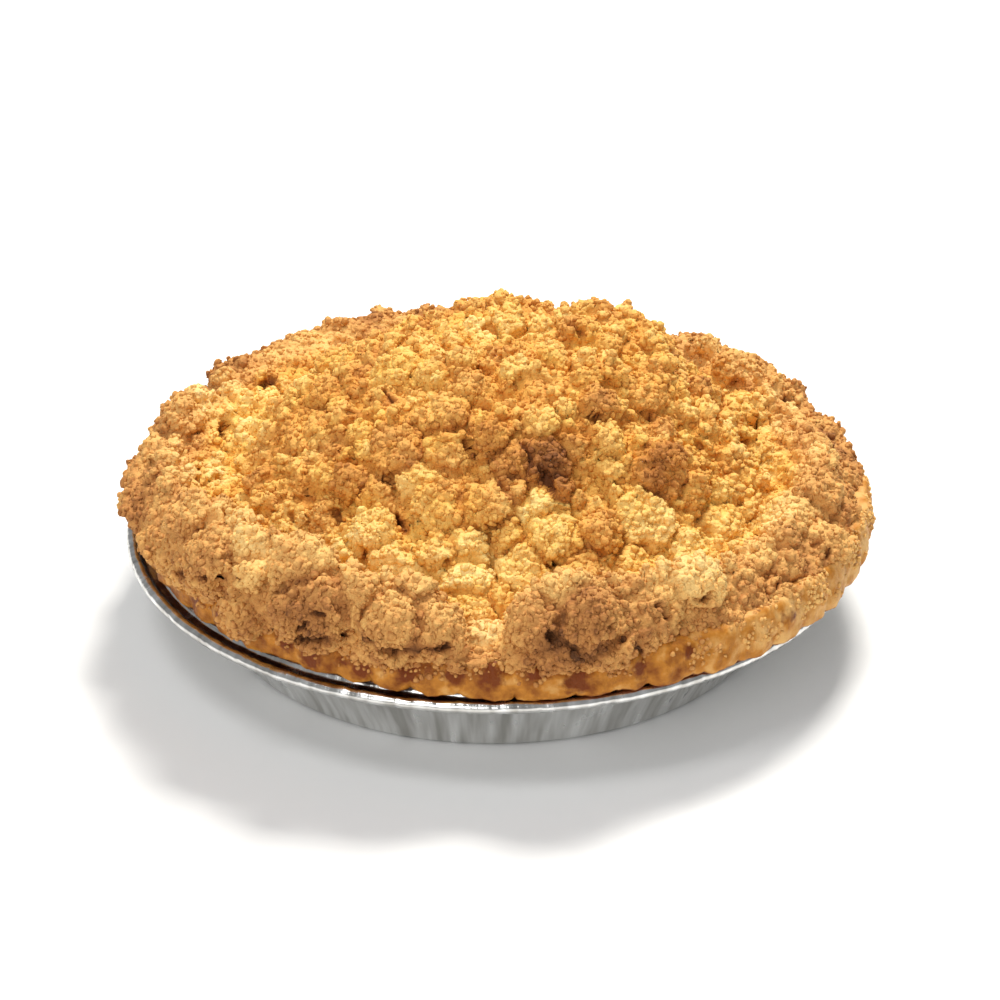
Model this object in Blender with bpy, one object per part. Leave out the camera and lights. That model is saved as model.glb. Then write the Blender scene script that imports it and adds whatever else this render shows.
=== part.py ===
"""A tall crumb-topped apple pie in its own foil tin, in metres, +Z up, standing on Z = 0.

The pie has three pieces. A nine-inch foil tin with a pleated wall and a rolled rim holds
the pastry, which fills it, because the pie is uncut, and ends in a crimped edge over the
tin's rim. A heap of baked crumbs covers all of the pastry's top: a ring of clumps stands
round the edge, a shallow valley runs inside it, and a mound rises in the middle.
"""

import math
import random

import bmesh
import bpy
from mathutils import Euler, Vector, noise

MM = 0.001

# The tin, a nine-inch foil pie tin
TIN_RIM_RADIUS = 114.3 * MM
TIN_BASE_RADIUS = 86.5 * MM
TIN_MOUTH_RADIUS = 101.6 * MM
TIN_FLANGE_Z = 29.2 * MM
TIN_WALL = 0.6 * MM
TIN_BEAD_RADIUS = 1.6 * MM
TIN_BEAD_POINTS = 7
TIN_RIDGE_RADIUS = 107.3 * MM
TIN_RIDGE_HEIGHT = 1.4 * MM
TIN_PLEATS = 42
TIN_PLEAT_DEPTH = 0.25 * MM

# The pastry, which fills the tin
PASTRY_GAP = 0.7 * MM
PASTRY_LIP_Z = 31.6 * MM
PASTRY_LIP_RADIUS = 112.1 * MM
PASTRY_TOP_Z = 37.8 * MM
PASTRY_CRIMPS = 52
PASTRY_CRIMP_DEPTH = 1.2 * MM

# The crumb topping, from its apex to the edge where it meets the pastry
CRUMB_FLOOR_Z = 38.1 * MM
CRUMB_APEX_Z = 89.0 * MM
CRUMB_VALLEY_RADIUS = 85.0 * MM
CRUMB_VALLEY_Z = 50.0 * MM
CRUMB_CREST_RADIUS = 100.5 * MM
CRUMB_CREST_Z = 56.5 * MM
CRUMB_WIDEST_RADIUS = 115.0 * MM
CRUMB_WIDEST_Z = 44.0 * MM
CRUMB_RINGS = 29
MOUND_LEAN = Vector((9 * MM, 4 * MM, 0))

# Rises and dips of the crumb ring's crest: angle in degrees, height, half-width in degrees.
# Angles run from +X towards +Y, so 270 degrees is the front.
CREST_WAVES = (
    (228, 9.0 * MM, 13),
    (246, 5.0 * MM, 7),
    (268, -8.0 * MM, 6),
    (289, 5.0 * MM, 13),
    (322, -5.0 * MM, 14),
    (188, 2.0 * MM, 10),
    (158, -3.5 * MM, 22),
    (11, -5.5 * MM, 13),
    (66, -2.0 * MM, 14),
)

# Swellings of the mound: place from the centre, height, half-width
MOUND_SWELLS = (
    ((12 * MM, -36 * MM), 5.0 * MM, 13 * MM),
    ((-14 * MM, -26 * MM), 3.5 * MM, 14 * MM),
    ((47 * MM, -40 * MM), 4.5 * MM, 12 * MM),
    ((-46 * MM, -34 * MM), 4.0 * MM, 13 * MM),
    ((-52 * MM, 8 * MM), 3.5 * MM, 15 * MM),
    ((42 * MM, 38 * MM), 9.5 * MM, 19 * MM),
    ((-5 * MM, 40 * MM), 3.5 * MM, 14 * MM),
    ((2 * MM, -66 * MM), -3.0 * MM, 12 * MM),
)

# The ring bulges a little more on the left than on the right
RING_LEAN = -0.5 * MM
RING_WOBBLE = 1.3 * MM

# Relief, and the clumps fused on the heap. A clump is a rounded lump, flattened and partly sunk.
# Reach is how far down the heap's skin they lie, as a share of the way to its lower edge.
CLUMP_CELL = 14 * MM
CLUMP_RELIEF = 3.6 * MM
BIG_CLUMPS = {"count": 28, "radius": (7.5 * MM, 10.5 * MM), "spacing": 25 * MM, "sides": (8, 5)}
SMALL_CLUMPS = {"count": 24, "radius": (4 * MM, 6 * MM), "spacing": 17 * MM, "sides": (6, 4)}
CLUMP_REACH = 0.84
CLUMP_FLATTENING = (0.5, 0.62)
CLUMP_SINK = 0.28
CLUMP_JITTER = 0.08
SEED = 9

FOIL = {"name": "aluminium foil", "color": (0.80, 0.80, 0.81, 1), "roughness": 0.3, "metallic": 1}
PASTRY = {"name": "baked shortcrust", "color": (0.62, 0.33, 0.10, 1), "roughness": 0.6, "metallic": 0}
CRUMB = {"name": "baked crumb", "color": (0.68, 0.38, 0.12, 1), "roughness": 0.75, "metallic": 0}


def clear_scene():
    for old in list(bpy.data.objects):
        bpy.data.objects.remove(old)


def material(spec):
    made = bpy.data.materials.new(spec["name"])
    made.use_nodes = True
    shader = made.node_tree.nodes["Principled BSDF"]
    shader.inputs["Base Color"].default_value = spec["color"]
    shader.inputs["Roughness"].default_value = spec["roughness"]
    shader.inputs["Metallic"].default_value = spec["metallic"]
    return made


def add_object(name, bm, spec):
    """Makes an object of a finished bmesh, with its faces pointing out."""
    bmesh.ops.recalc_face_normals(bm, faces=bm.faces[:])
    mesh = bpy.data.meshes.new(name)
    bm.to_mesh(mesh)
    bm.free()
    made = bpy.data.objects.new(name, mesh)
    if spec:
        mesh.materials.append(material(spec))
    bpy.context.scene.collection.objects.link(made)
    return made


def bell(distance, half_width):
    """A smooth bump: 1 at no distance, and near 0 past two half-widths."""
    return math.exp(-((distance / half_width) ** 2))


def turned(profile, segments, shape):
    """Spins a profile of (radius, height), from axis to axis, and then moves each point by
    shape(index, point), where index counts the segments round the axis."""
    bm = bmesh.new()
    points = [bm.verts.new((radius, 0, height)) for radius, height in profile]
    for first, second in zip(points, points[1:]):
        bm.edges.new((first, second))
    bmesh.ops.spin(
        bm, geom=bm.verts[:] + bm.edges[:], axis=(0, 0, 1), cent=(0, 0, 0),
        angle=2 * math.pi, steps=segments, use_merge=True,
    )
    bmesh.ops.remove_doubles(bm, verts=bm.verts[:], dist=0.01 * MM)
    for vert in bm.verts:
        step = round(math.atan2(vert.co.y, vert.co.x) / (2 * math.pi) * segments) % segments
        vert.co = shape(step, vert.co)
    return bm


def push(point, distance):
    """Moves a point straight out from the axis."""
    outward = Vector((point.x, point.y, 0))
    return point + outward.normalized() * distance if outward.length > 0 else point


def tin_profile():
    """The foil's section: along its underside, round the rolled rim, and back along its inside."""
    under = [
        (0, 0),
        (TIN_BASE_RADIUS - 1.5 * MM, 0),
        (TIN_BASE_RADIUS, 1.2 * MM),
        (TIN_MOUTH_RADIUS, TIN_FLANGE_Z - 1.2 * MM),
        (TIN_MOUTH_RADIUS + 2 * MM, TIN_FLANGE_Z),
        (TIN_RIDGE_RADIUS, TIN_FLANGE_Z + TIN_RIDGE_HEIGHT),
        (TIN_RIDGE_RADIUS + 2.6 * MM, TIN_FLANGE_Z),
    ]
    middle = (TIN_RIM_RADIUS - TIN_BEAD_RADIUS, TIN_FLANGE_Z + TIN_WALL / 2)
    opening = math.asin(TIN_WALL / 2 / TIN_BEAD_RADIUS)
    bead = []
    for i in range(TIN_BEAD_POINTS):
        share = i / (TIN_BEAD_POINTS - 1)
        angle = -math.pi + opening + share * 2 * (math.pi - opening)
        bead.append((
            middle[0] + TIN_BEAD_RADIUS * math.cos(angle),
            middle[1] + TIN_BEAD_RADIUS * math.sin(angle),
        ))
    slope = math.atan2(TIN_FLANGE_Z, TIN_MOUTH_RADIUS - TIN_BASE_RADIUS)
    sideways = TIN_WALL / math.sin(slope)
    inside = [(radius, height + TIN_WALL) for radius, height in under[4:]]
    inside = [(TIN_MOUTH_RADIUS - sideways, TIN_FLANGE_Z - 0.9 * MM)] + inside
    inside = [(TIN_BASE_RADIUS - sideways, 1.4 * MM + TIN_WALL)] + inside
    inside = [(0, TIN_WALL), (TIN_BASE_RADIUS - 2.2 * MM, TIN_WALL)] + inside
    return under + bead + inside[::-1]


def make_tin():
    def pleated(step, point):
        """Every other line of the wall stands out, most at half its height."""
        climb = point.z / TIN_FLANGE_Z
        if not 0.03 < climb < 0.98:
            return point
        side = 1 if step % 2 else -1
        return push(point, side * TIN_PLEAT_DEPTH)

    add_object("foil_tin", turned(tin_profile(), 2 * TIN_PLEATS, pleated), FOIL)


def pastry_profile():
    base = TIN_BASE_RADIUS - PASTRY_GAP - 1.6 * MM
    mouth = TIN_MOUTH_RADIUS - PASTRY_GAP - 0.9 * MM
    return [
        (0, TIN_WALL + 0.5 * MM),
        (base, TIN_WALL + 0.5 * MM),
        (base + 1.2 * MM, 3.2 * MM),
        (mouth, TIN_FLANGE_Z - 0.4 * MM),
        (mouth + 2.6 * MM, PASTRY_LIP_Z),
        (PASTRY_LIP_RADIUS - 0.6 * MM, PASTRY_LIP_Z),
        (PASTRY_LIP_RADIUS, PASTRY_LIP_Z + 1.6 * MM),
        (PASTRY_LIP_RADIUS - 1.6 * MM, PASTRY_TOP_Z - 1.2 * MM),
        (PASTRY_LIP_RADIUS - 4.2 * MM, PASTRY_TOP_Z),
        (0, PASTRY_TOP_Z),
    ]


def make_pastry():
    def crimped(step, point):
        """The lip is pressed in between its crimps, and each crimp stands a little higher."""
        reach = math.hypot(point.x, point.y)
        if reach < PASTRY_LIP_RADIUS - 2.5 * MM:
            return point
        side = 1 if step % 2 else -1
        uneven = 1 + 0.35 * math.sin(step * 2.4)
        moved = push(point, side * PASTRY_CRIMP_DEPTH * uneven)
        if point.z > PASTRY_LIP_Z + 1 * MM:
            moved.z += side * 0.35 * MM
        return moved

    add_object("pastry_crust", turned(pastry_profile(), 2 * PASTRY_CRIMPS, crimped), PASTRY)


def crumb_profile():
    """Radius and height from the apex to the lower edge, before waves and swells."""
    rise = CRUMB_APEX_Z - CRUMB_VALLEY_Z
    return [
        (0, CRUMB_APEX_Z),
        (0.27 * CRUMB_VALLEY_RADIUS, CRUMB_APEX_Z - 0.05 * rise),
        (0.53 * CRUMB_VALLEY_RADIUS, CRUMB_APEX_Z - 0.26 * rise),
        (0.75 * CRUMB_VALLEY_RADIUS, CRUMB_APEX_Z - 0.60 * rise),
        (0.90 * CRUMB_VALLEY_RADIUS, CRUMB_APEX_Z - 0.90 * rise),
        (CRUMB_VALLEY_RADIUS, CRUMB_VALLEY_Z),
        (CRUMB_VALLEY_RADIUS + 7.5 * MM, CRUMB_CREST_Z - 3.2 * MM),
        (CRUMB_CREST_RADIUS, CRUMB_CREST_Z),
        (CRUMB_CREST_RADIUS + 7.5 * MM, CRUMB_CREST_Z - 2.6 * MM),
        (CRUMB_WIDEST_RADIUS - 1.6 * MM, CRUMB_WIDEST_Z + 5.5 * MM),
        (CRUMB_WIDEST_RADIUS, CRUMB_WIDEST_Z),
        (CRUMB_WIDEST_RADIUS - 2.6 * MM, CRUMB_FLOOR_Z + 0.8 * MM),
        (CRUMB_WIDEST_RADIUS - 5.5 * MM, CRUMB_FLOOR_Z),
    ]


PROFILE = [Vector((radius, 0, height)) for radius, height in crumb_profile()]
LENGTHS = [(second - first).length for first, second in zip(PROFILE, PROFILE[1:])]
PROFILE_LENGTH = sum(LENGTHS)


def along_profile(travel):
    """The point of the profile that lies this far along it from the apex."""
    for start, end, length in zip(PROFILE, PROFILE[1:], LENGTHS):
        if travel <= length:
            return start.lerp(end, travel / length)
        travel -= length
    return PROFILE[-1].copy()


def angle_gap(first, second):
    return abs((first - second + 180) % 360 - 180)


def crumb_surface(travel, angle):
    """A point of the crumb heap's skin, at a travel from the apex and an angle in radians."""
    flat = along_profile(travel)
    point = Vector((flat.x * math.cos(angle), flat.x * math.sin(angle), flat.z))
    degrees = math.degrees(angle) % 360
    above = (flat.z - CRUMB_FLOOR_Z) / (CRUMB_CREST_Z - CRUMB_FLOOR_Z)
    if flat.x < CRUMB_CREST_RADIUS:
        share = bell(flat.x - CRUMB_CREST_RADIUS, 12 * MM)
    else:
        share = min(above, 1)
    for middle, height, width in CREST_WAVES:
        point.z += share * height * bell(angle_gap(degrees, middle), width)
    for (x, y), height, width in MOUND_SWELLS:
        point.z += height * bell(math.hypot(point.x - x, point.y - y), width)
    lean = max(0, 1 - (flat.x / CRUMB_VALLEY_RADIUS) ** 2)
    point += MOUND_LEAN * lean
    ring_width = CRUMB_WIDEST_RADIUS - CRUMB_VALLEY_RADIUS
    outward = min(max((flat.x - CRUMB_VALLEY_RADIUS) / ring_width, 0), 1)
    grip = min(above * 2, 1)
    wobble = RING_WOBBLE * math.sin(3 * angle + 0.6) * math.sin(5 * angle)
    point = push(point, outward * grip * (wobble + RING_LEAN * math.cos(angle)))
    nearest = noise.voronoi(point / CLUMP_CELL)[0][0]
    relief = CLUMP_RELIEF * (1 - 2.6 * nearest ** 2) * grip
    slant = min(max(outward - 0.35, 0) * 1.4, 0.8)
    point = push(point, relief * slant)
    point.z = max(point.z + relief * (1 - slant), CRUMB_FLOOR_Z)
    return point


def crumb_core():
    """Rings of 6, 12, 18 ... points, so that the triangles are about even in size."""
    bm = bmesh.new()
    rings = [[bm.verts.new(crumb_surface(0, 0))]]
    for ring in range(1, CRUMB_RINGS + 1):
        travel = PROFILE_LENGTH * ring / CRUMB_RINGS
        turn = 2 * math.pi / (6 * ring)
        rings.append([bm.verts.new(crumb_surface(travel, i * turn)) for i in range(6 * ring)])
    for ring in range(1, CRUMB_RINGS + 1):
        inner, outer = rings[ring - 1], rings[ring]
        for i in range(len(outer)):
            side, step = divmod(i, ring)
            a = inner[(side * (ring - 1) + step) % len(inner)]
            b, c = outer[i], outer[(i + 1) % len(outer)]
            bm.faces.new((a, b, c))
            if step < ring - 1:
                bm.faces.new((a, c, inner[(side * (ring - 1) + step + 1) % len(inner)]))
    bm.faces.new(rings[-1][::-1])
    return bm


def skin_normal(travel, angle):
    """The way the heap's skin faces, from two short steps across it."""
    step = 2 * MM
    here = crumb_surface(travel, angle)
    reach = max(math.hypot(here.x, here.y), step)
    down = crumb_surface(travel + step, angle) - here
    across = crumb_surface(travel, angle + step / reach) - here
    return down.cross(across).normalized()


def scatter(rng, spec, taken):
    """Fuses on clumps at seeded places, no nearer to each other than the spacing."""
    places = []
    tries = 0
    while len(places) < spec["count"] and tries < 200 * spec["count"]:
        tries += 1
        travel = PROFILE_LENGTH * CLUMP_REACH * math.sqrt(rng.random())
        angle = rng.uniform(0, 2 * math.pi)
        point = crumb_surface(travel, angle)
        radius = rng.uniform(*spec["radius"])
        if point.z < CRUMB_FLOOR_Z + 0.6 * radius:
            continue
        if all((point - other).length > spec["spacing"] for other in taken + places):
            places.append(point)
            clump(rng, point, skin_normal(travel, angle), radius, spec["sides"])
    return places


def clump(rng, place, normal, radius, sides):
    """One rounded, uneven clump of crumbs, lying flat on the heap's skin."""
    bm = bmesh.new()
    bmesh.ops.create_uvsphere(bm, u_segments=sides[0], v_segments=sides[1], radius=radius)
    stretch = Vector((rng.uniform(0.85, 1.2), rng.uniform(0.85, 1.2), rng.uniform(*CLUMP_FLATTENING)))
    spin = Euler((0, 0, rng.uniform(0, 2 * math.pi))).to_matrix()
    lay = normal.to_track_quat("Z", "Y").to_matrix() @ spin
    middle = place - normal * CLUMP_SINK * radius
    for vert in bm.verts:
        rough = 1 + rng.uniform(-CLUMP_JITTER, CLUMP_JITTER)
        vert.co = middle + lay @ (vert.co * rough * stretch)
        vert.co.z = max(vert.co.z, CRUMB_FLOOR_Z + 0.25 * MM)
    made = add_object("clump", bm, None)
    bpy.context.scene.collection.objects.unlink(made)
    bpy.data.collections["clumps"].objects.link(made)


def make_crumbs():
    """The heap's core with its larger clumps fused on by one union."""
    heap = add_object("crumb_topping", crumb_core(), CRUMB)
    clumps = bpy.data.collections.new("clumps")
    bpy.context.scene.collection.children.link(clumps)
    rng = random.Random(SEED)
    taken = scatter(rng, BIG_CLUMPS, [])
    scatter(rng, SMALL_CLUMPS, taken)
    union = heap.modifiers.new("fuse clumps", "BOOLEAN")
    union.operation = "UNION"
    union.operand_type = "COLLECTION"
    union.collection = clumps
    union.solver = "EXACT"
    view = bpy.context.evaluated_depsgraph_get()
    fused = bpy.data.meshes.new_from_object(heap.evaluated_get(view))
    heap.modifiers.remove(union)
    heap.data = fused
    for made in list(clumps.objects):
        bpy.data.objects.remove(made)
    bpy.data.collections.remove(clumps)


clear_scene()
make_tin()
make_pastry()
make_crumbs()
for piece in bpy.context.scene.objects:
    piece.data.shade_smooth()
    piece.data.set_sharp_from_angle(angle=math.radians(40))
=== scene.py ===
# %% [markdown]
# # A crumb-topped apple pie in its foil tin
#
# The real object is a whole nine-inch pie. Shortcrust pastry lines a pressed foil tin and ends in a
# crimped edge over its rim, and a tall heap of butter crumbs is baked onto the top. This script dresses
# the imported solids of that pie: it loads them, measures them, and then builds the tin, the crust, the
# heap and its loose crumbs one after another, each with a finish of its own.

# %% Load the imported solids
import math
import random

import bmesh
import bpy
import numpy as np
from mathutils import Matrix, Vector, noise
from mathutils.bvhtree import BVHTree


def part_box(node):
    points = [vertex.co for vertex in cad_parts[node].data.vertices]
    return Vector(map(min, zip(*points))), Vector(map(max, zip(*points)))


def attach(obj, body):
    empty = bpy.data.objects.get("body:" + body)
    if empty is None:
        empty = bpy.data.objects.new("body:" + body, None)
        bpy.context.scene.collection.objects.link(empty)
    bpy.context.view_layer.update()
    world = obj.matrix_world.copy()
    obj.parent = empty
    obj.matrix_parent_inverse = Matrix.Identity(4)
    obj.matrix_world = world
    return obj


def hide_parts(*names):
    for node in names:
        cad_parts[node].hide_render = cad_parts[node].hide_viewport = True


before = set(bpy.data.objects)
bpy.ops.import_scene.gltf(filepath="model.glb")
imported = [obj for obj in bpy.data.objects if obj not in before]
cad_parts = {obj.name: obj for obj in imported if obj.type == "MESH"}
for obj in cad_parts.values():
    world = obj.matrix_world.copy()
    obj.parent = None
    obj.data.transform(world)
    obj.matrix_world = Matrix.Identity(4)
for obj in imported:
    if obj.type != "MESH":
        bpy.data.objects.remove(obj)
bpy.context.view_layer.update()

tin_low, tin_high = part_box("foil_tin")
crust_low, crust_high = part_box("pastry_crust")
heap_low, heap_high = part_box("crumb_topping")
print("tin", tin_high, "crust", crust_high, "heap", heap_high)

# %% [markdown]
# ## Units, colours and nodes
#
# Everything is in metres, so a size in millimetres is written as a number times MM. Colours are sRGB hex
# values, as a painter would pick them on a screen, and Blender's nodes want linear light, so one function
# turns them. Another function adds a node: its inputs are given by name or number, and a value that is a
# socket becomes a link.

# %% Small helpers
MM = 0.001


def linear(code):
    """An sRGB hex value as a linear colour."""
    parts = [int(code[i:i + 2], 16) / 255 for i in (1, 3, 5)]
    return [p / 12.92 if p <= 0.04045 else ((p + 0.055) / 1.055) ** 2.4 for p in parts] + [1]


def add_node(tree, kind, inputs=None, **settings):
    """Adds a node with its settings, and fills or links its inputs."""
    made = tree.nodes.new(kind)
    for name, value in settings.items():
        setattr(made, name, value)
    for key, value in (inputs or {}).items():
        if isinstance(value, bpy.types.NodeSocket):
            tree.links.new(value, made.inputs[key])
        else:
            made.inputs[key].default_value = value
    return made


# %% [markdown]
# ## Geometry Nodes trees
#
# A tree is built once, with named inputs for its sizes. The modifier that runs it stores each input under
# the socket's identifier, not its name, so the values are matched by name first. The result is read back as
# a plain mesh, and the modifier is taken away again.

# %% Build and run a tree
def new_tree(name, sizes):
    """An empty tree with a geometry input and output, and an input for each named size."""
    tree = bpy.data.node_groups.new(name, "GeometryNodeTree")
    sockets = tree.interface
    sockets.new_socket("Geometry", in_out="INPUT", socket_type="NodeSocketGeometry")
    sockets.new_socket("Geometry", in_out="OUTPUT", socket_type="NodeSocketGeometry")
    for label, value in sizes.items():
        kind = {int: "NodeSocketInt", float: "NodeSocketFloat"}.get(type(value), "NodeSocketMaterial")
        sockets.new_socket(label, in_out="INPUT", socket_type=kind).default_value = value
    return tree, add_node(tree, "NodeGroupInput").outputs, add_node(tree, "NodeGroupOutput")


def plain_mesh(piece):
    """The mesh that a piece's modifiers make, with the modifiers taken away."""
    view = bpy.context.evaluated_depsgraph_get()
    evaluated = piece.evaluated_get(view)
    mesh = bpy.data.meshes.new_from_object(evaluated, preserve_all_data_layers=True, depsgraph=view)
    piece.modifiers.clear()
    return mesh


def run_tree(piece, tree, values=None):
    """Runs a tree on a piece and gives the resulting plain mesh."""
    grower = piece.modifiers.new(tree.name, "NODES")
    grower.node_group = tree
    for item in tree.interface.items_tree:
        if item.in_out == "INPUT" and item.name in (values or {}):
            grower[item.identifier] = values[item.name]
    return plain_mesh(piece)


def add_piece(name, mesh, finish=None):
    """Links a mesh as an object at the origin."""
    mesh.name = name
    piece = bpy.data.objects.new(name, mesh)
    bpy.context.scene.collection.objects.link(piece)
    if finish:
        mesh.materials.clear()
        mesh.materials.append(finish)
    return piece


def settle(piece, slot_name, *nodes):
    """Smooths a finished piece, hangs it on the root body, hides the solids that it stands for and prints its triangle
    count.
    """
    piece.data.shade_smooth()
    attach(piece, "root")
    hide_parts(*nodes)
    piece.data.calc_loop_triangles()
    print(piece.name, len(piece.data.loop_triangles), "triangles")


# %% [markdown]
# ## Camera, light and floor
#
# The photograph looks down on the pie by 28 degrees through a long lens. The light is a broad soft box high
# behind the pie, which brightens the tops and leaves the front of the crumb ring a little darker, with a
# weaker one in front. The floor is plain and pale, and fills the tin's wall with grey reflections.

# %% Camera
CAMERA_PLACE = Vector((1.9 * MM, -794.65 * MM, 457.83 * MM))
CAMERA_AIM = Vector((1.9 * MM, 0, 35.3 * MM))
LENS_MM = 103.8
SENSOR_MM = 36

camera_data = bpy.data.cameras.new("camera")
camera_data.lens = LENS_MM
camera_data.sensor_width = SENSOR_MM
camera = bpy.data.objects.new("camera", camera_data)
camera.location = CAMERA_PLACE
camera.rotation_euler = (CAMERA_AIM - CAMERA_PLACE).to_track_quat("-Z", "Y").to_euler()
bpy.context.scene.collection.objects.link(camera)
bpy.context.scene.camera = camera
bpy.context.scene.view_settings.view_transform = "Standard"
print("camera", camera.location)

# %% Lights
def soft_box(name, place, size, watts, tint):
    """A square area light that looks at the pie."""
    data = bpy.data.lights.new(name, "AREA")
    data.size = size
    data.energy = watts
    data.color = linear(tint)[:3]
    lamp = bpy.data.objects.new(name, data)
    lamp.location = place
    lamp.rotation_euler = (CAMERA_AIM - Vector(place)).to_track_quat("-Z", "Y").to_euler()
    bpy.context.scene.collection.objects.link(lamp)


soft_box("key light", (0.2, 0.5, 1.15), 0.4, 18.5, "#FFFCF6")
soft_box("top light", (-0.35, -0.45, 1.2), 0.35, 3.6, "#FFFFFF")
soft_box("front light", (-0.4, -1.1, 0.6), 0.8, 5.2, "#FFFFFF")

sky = bpy.data.worlds.new("studio")
sky.use_nodes = True
sky.node_tree.nodes["Background"].inputs["Color"].default_value = linear("#F7F8FA")
sky.node_tree.nodes["Background"].inputs["Strength"].default_value = 0.39
bpy.context.scene.world = sky

# %% Floor
FLOOR_REACH = 3.0

floor_finish = bpy.data.materials.new("white studio paper")
floor_finish.use_nodes = True
paper = floor_finish.node_tree.nodes["Principled BSDF"]
paper.inputs["Base Color"].default_value = linear("#F4F4F3")
paper.inputs["Roughness"].default_value = 0.9
floor_mesh = bpy.data.meshes.new("floor")
reach = FLOOR_REACH
floor_mesh.from_pydata([(-reach, -reach, 0), (reach, -reach, 0), (reach, reach, 0), (-reach, reach, 0)], [], [(0, 1, 2, 3)])
floor = add_piece("floor", floor_mesh, floor_finish)
floor.location.z = -0.1 * MM

# %% [markdown]
# ## A smooth section and a turned shape
#
# The tin and the crust are both turned shapes. Each starts as a few points of its section, which a
# Catmull-Rom curve joins smoothly, and bmesh's spin turns them round the axis.

# %% Turn a section
def smooth_section(points, steps):
    """Points on a smooth curve through a few section points, with the ends kept."""
    ends = [points[0]] + list(points) + [points[-1]]
    line = []
    for i in range(1, len(ends) - 2):
        before, start, end, after = (np.array(p, float) for p in ends[i - 1:i + 3])
        for step in range(steps):
            t = step / steps
            line.append(tuple(0.5 * (
                2 * start + (end - before) * t + (2 * before - 5 * start + 4 * end - after) * t ** 2
                + (3 * start - before - 3 * end + after) * t ** 3
            )))
    return line + [tuple(points[-1])]


def turned(name, section, segments):
    """A mesh of a section of (radius, height) points turned round the axis."""
    bm = bmesh.new()
    points = [bm.verts.new((max(radius, 0), 0, height)) for radius, height in section]
    for first, second in zip(points, points[1:]):
        bm.edges.new((first, second))
    bmesh.ops.spin(
        bm, geom=bm.verts[:] + bm.edges[:], axis=(0, 0, 1), cent=(0, 0, 0),
        angle=2 * math.pi, steps=segments, use_merge=True,
    )
    bmesh.ops.remove_doubles(bm, verts=bm.verts[:], dist=0.01 * MM)
    bmesh.ops.recalc_face_normals(bm, faces=bm.faces[:])
    mesh = bpy.data.meshes.new(name)
    bm.to_mesh(mesh)
    bm.free()
    return mesh


# %% [markdown]
# ## Places that the picture shows
#
# Places on the pie are easiest to give as the photograph shows them, by pixel. The scene's camera stands
# where the photograph's did, so a line of sight through that pixel meets the pie at the same spot, clump or
# crack. Sizes stay in millimetres.

# %% Find a place that the picture shows
PICTURE_SIDE = 1000


def read_points(mesh, kind="co"):
    """A mesh's points, or their normals, as an array."""
    values = np.zeros(len(mesh.vertices) * 3, np.float32)
    source = mesh.vertices if kind == "co" else mesh.vertex_normals
    source.foreach_get("co" if kind == "co" else "vector", values)
    return values.reshape(-1, 3).astype(float)


def write_points(mesh, points):
    mesh.vertices.foreach_set("co", points.astype(np.float32).ravel())
    mesh.update()


def read_values(mesh, name):
    """A mesh attribute's value at each point."""
    values = np.zeros(len(mesh.vertices), np.float32)
    mesh.attributes[name].data.foreach_get("value", values)
    return values.astype(float)


def write_values(mesh, name, values):
    mesh.attributes.new(name, "FLOAT", "POINT").data.foreach_set("value", values.astype(np.float32))


def seen_at(skin, pixel):
    """Where the line of sight through a pixel of the picture meets the skin."""
    across, down = (value / PICTURE_SIDE - 0.5 for value in pixel)
    way = camera.rotation_euler.to_matrix() @ Vector((across * SENSOR_MM, -down * SENSOR_MM, -LENS_MM))
    place = skin.ray_cast(CAMERA_PLACE, way.normalized())[0]
    return None if place is None else np.array(place)


def slow_noise(points, size, seed):
    """Noise from -1 to 1 at each point, with features of about this size."""
    return np.array([noise.noise(Vector(p) / size + Vector((seed, seed, seed))) for p in points])


def wavering(points, size, amount, seed):
    """The points, each moved a little by a noise with features of about this size."""
    shift = Vector((seed, seed, seed))
    return points + amount * np.array([noise.noise_vector(Vector(p) / size + shift) for p in points])


# %% [markdown]
# ## Pressed aluminium foil
#
# The tin is soft aluminium, pressed cold from a thin sheet. The press draws fine streaks up the wall and
# leaves the surface bright but not polished. A noise that runs round the tin far faster than up it gives the
# streaks, and a second, even one gives the handling marks.

# %% Foil finish
FOLD_STREAK = 5 * MM
DRAW_STREAK = 1.2 * MM
HANDLING_SIZE = 9 * MM


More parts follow.
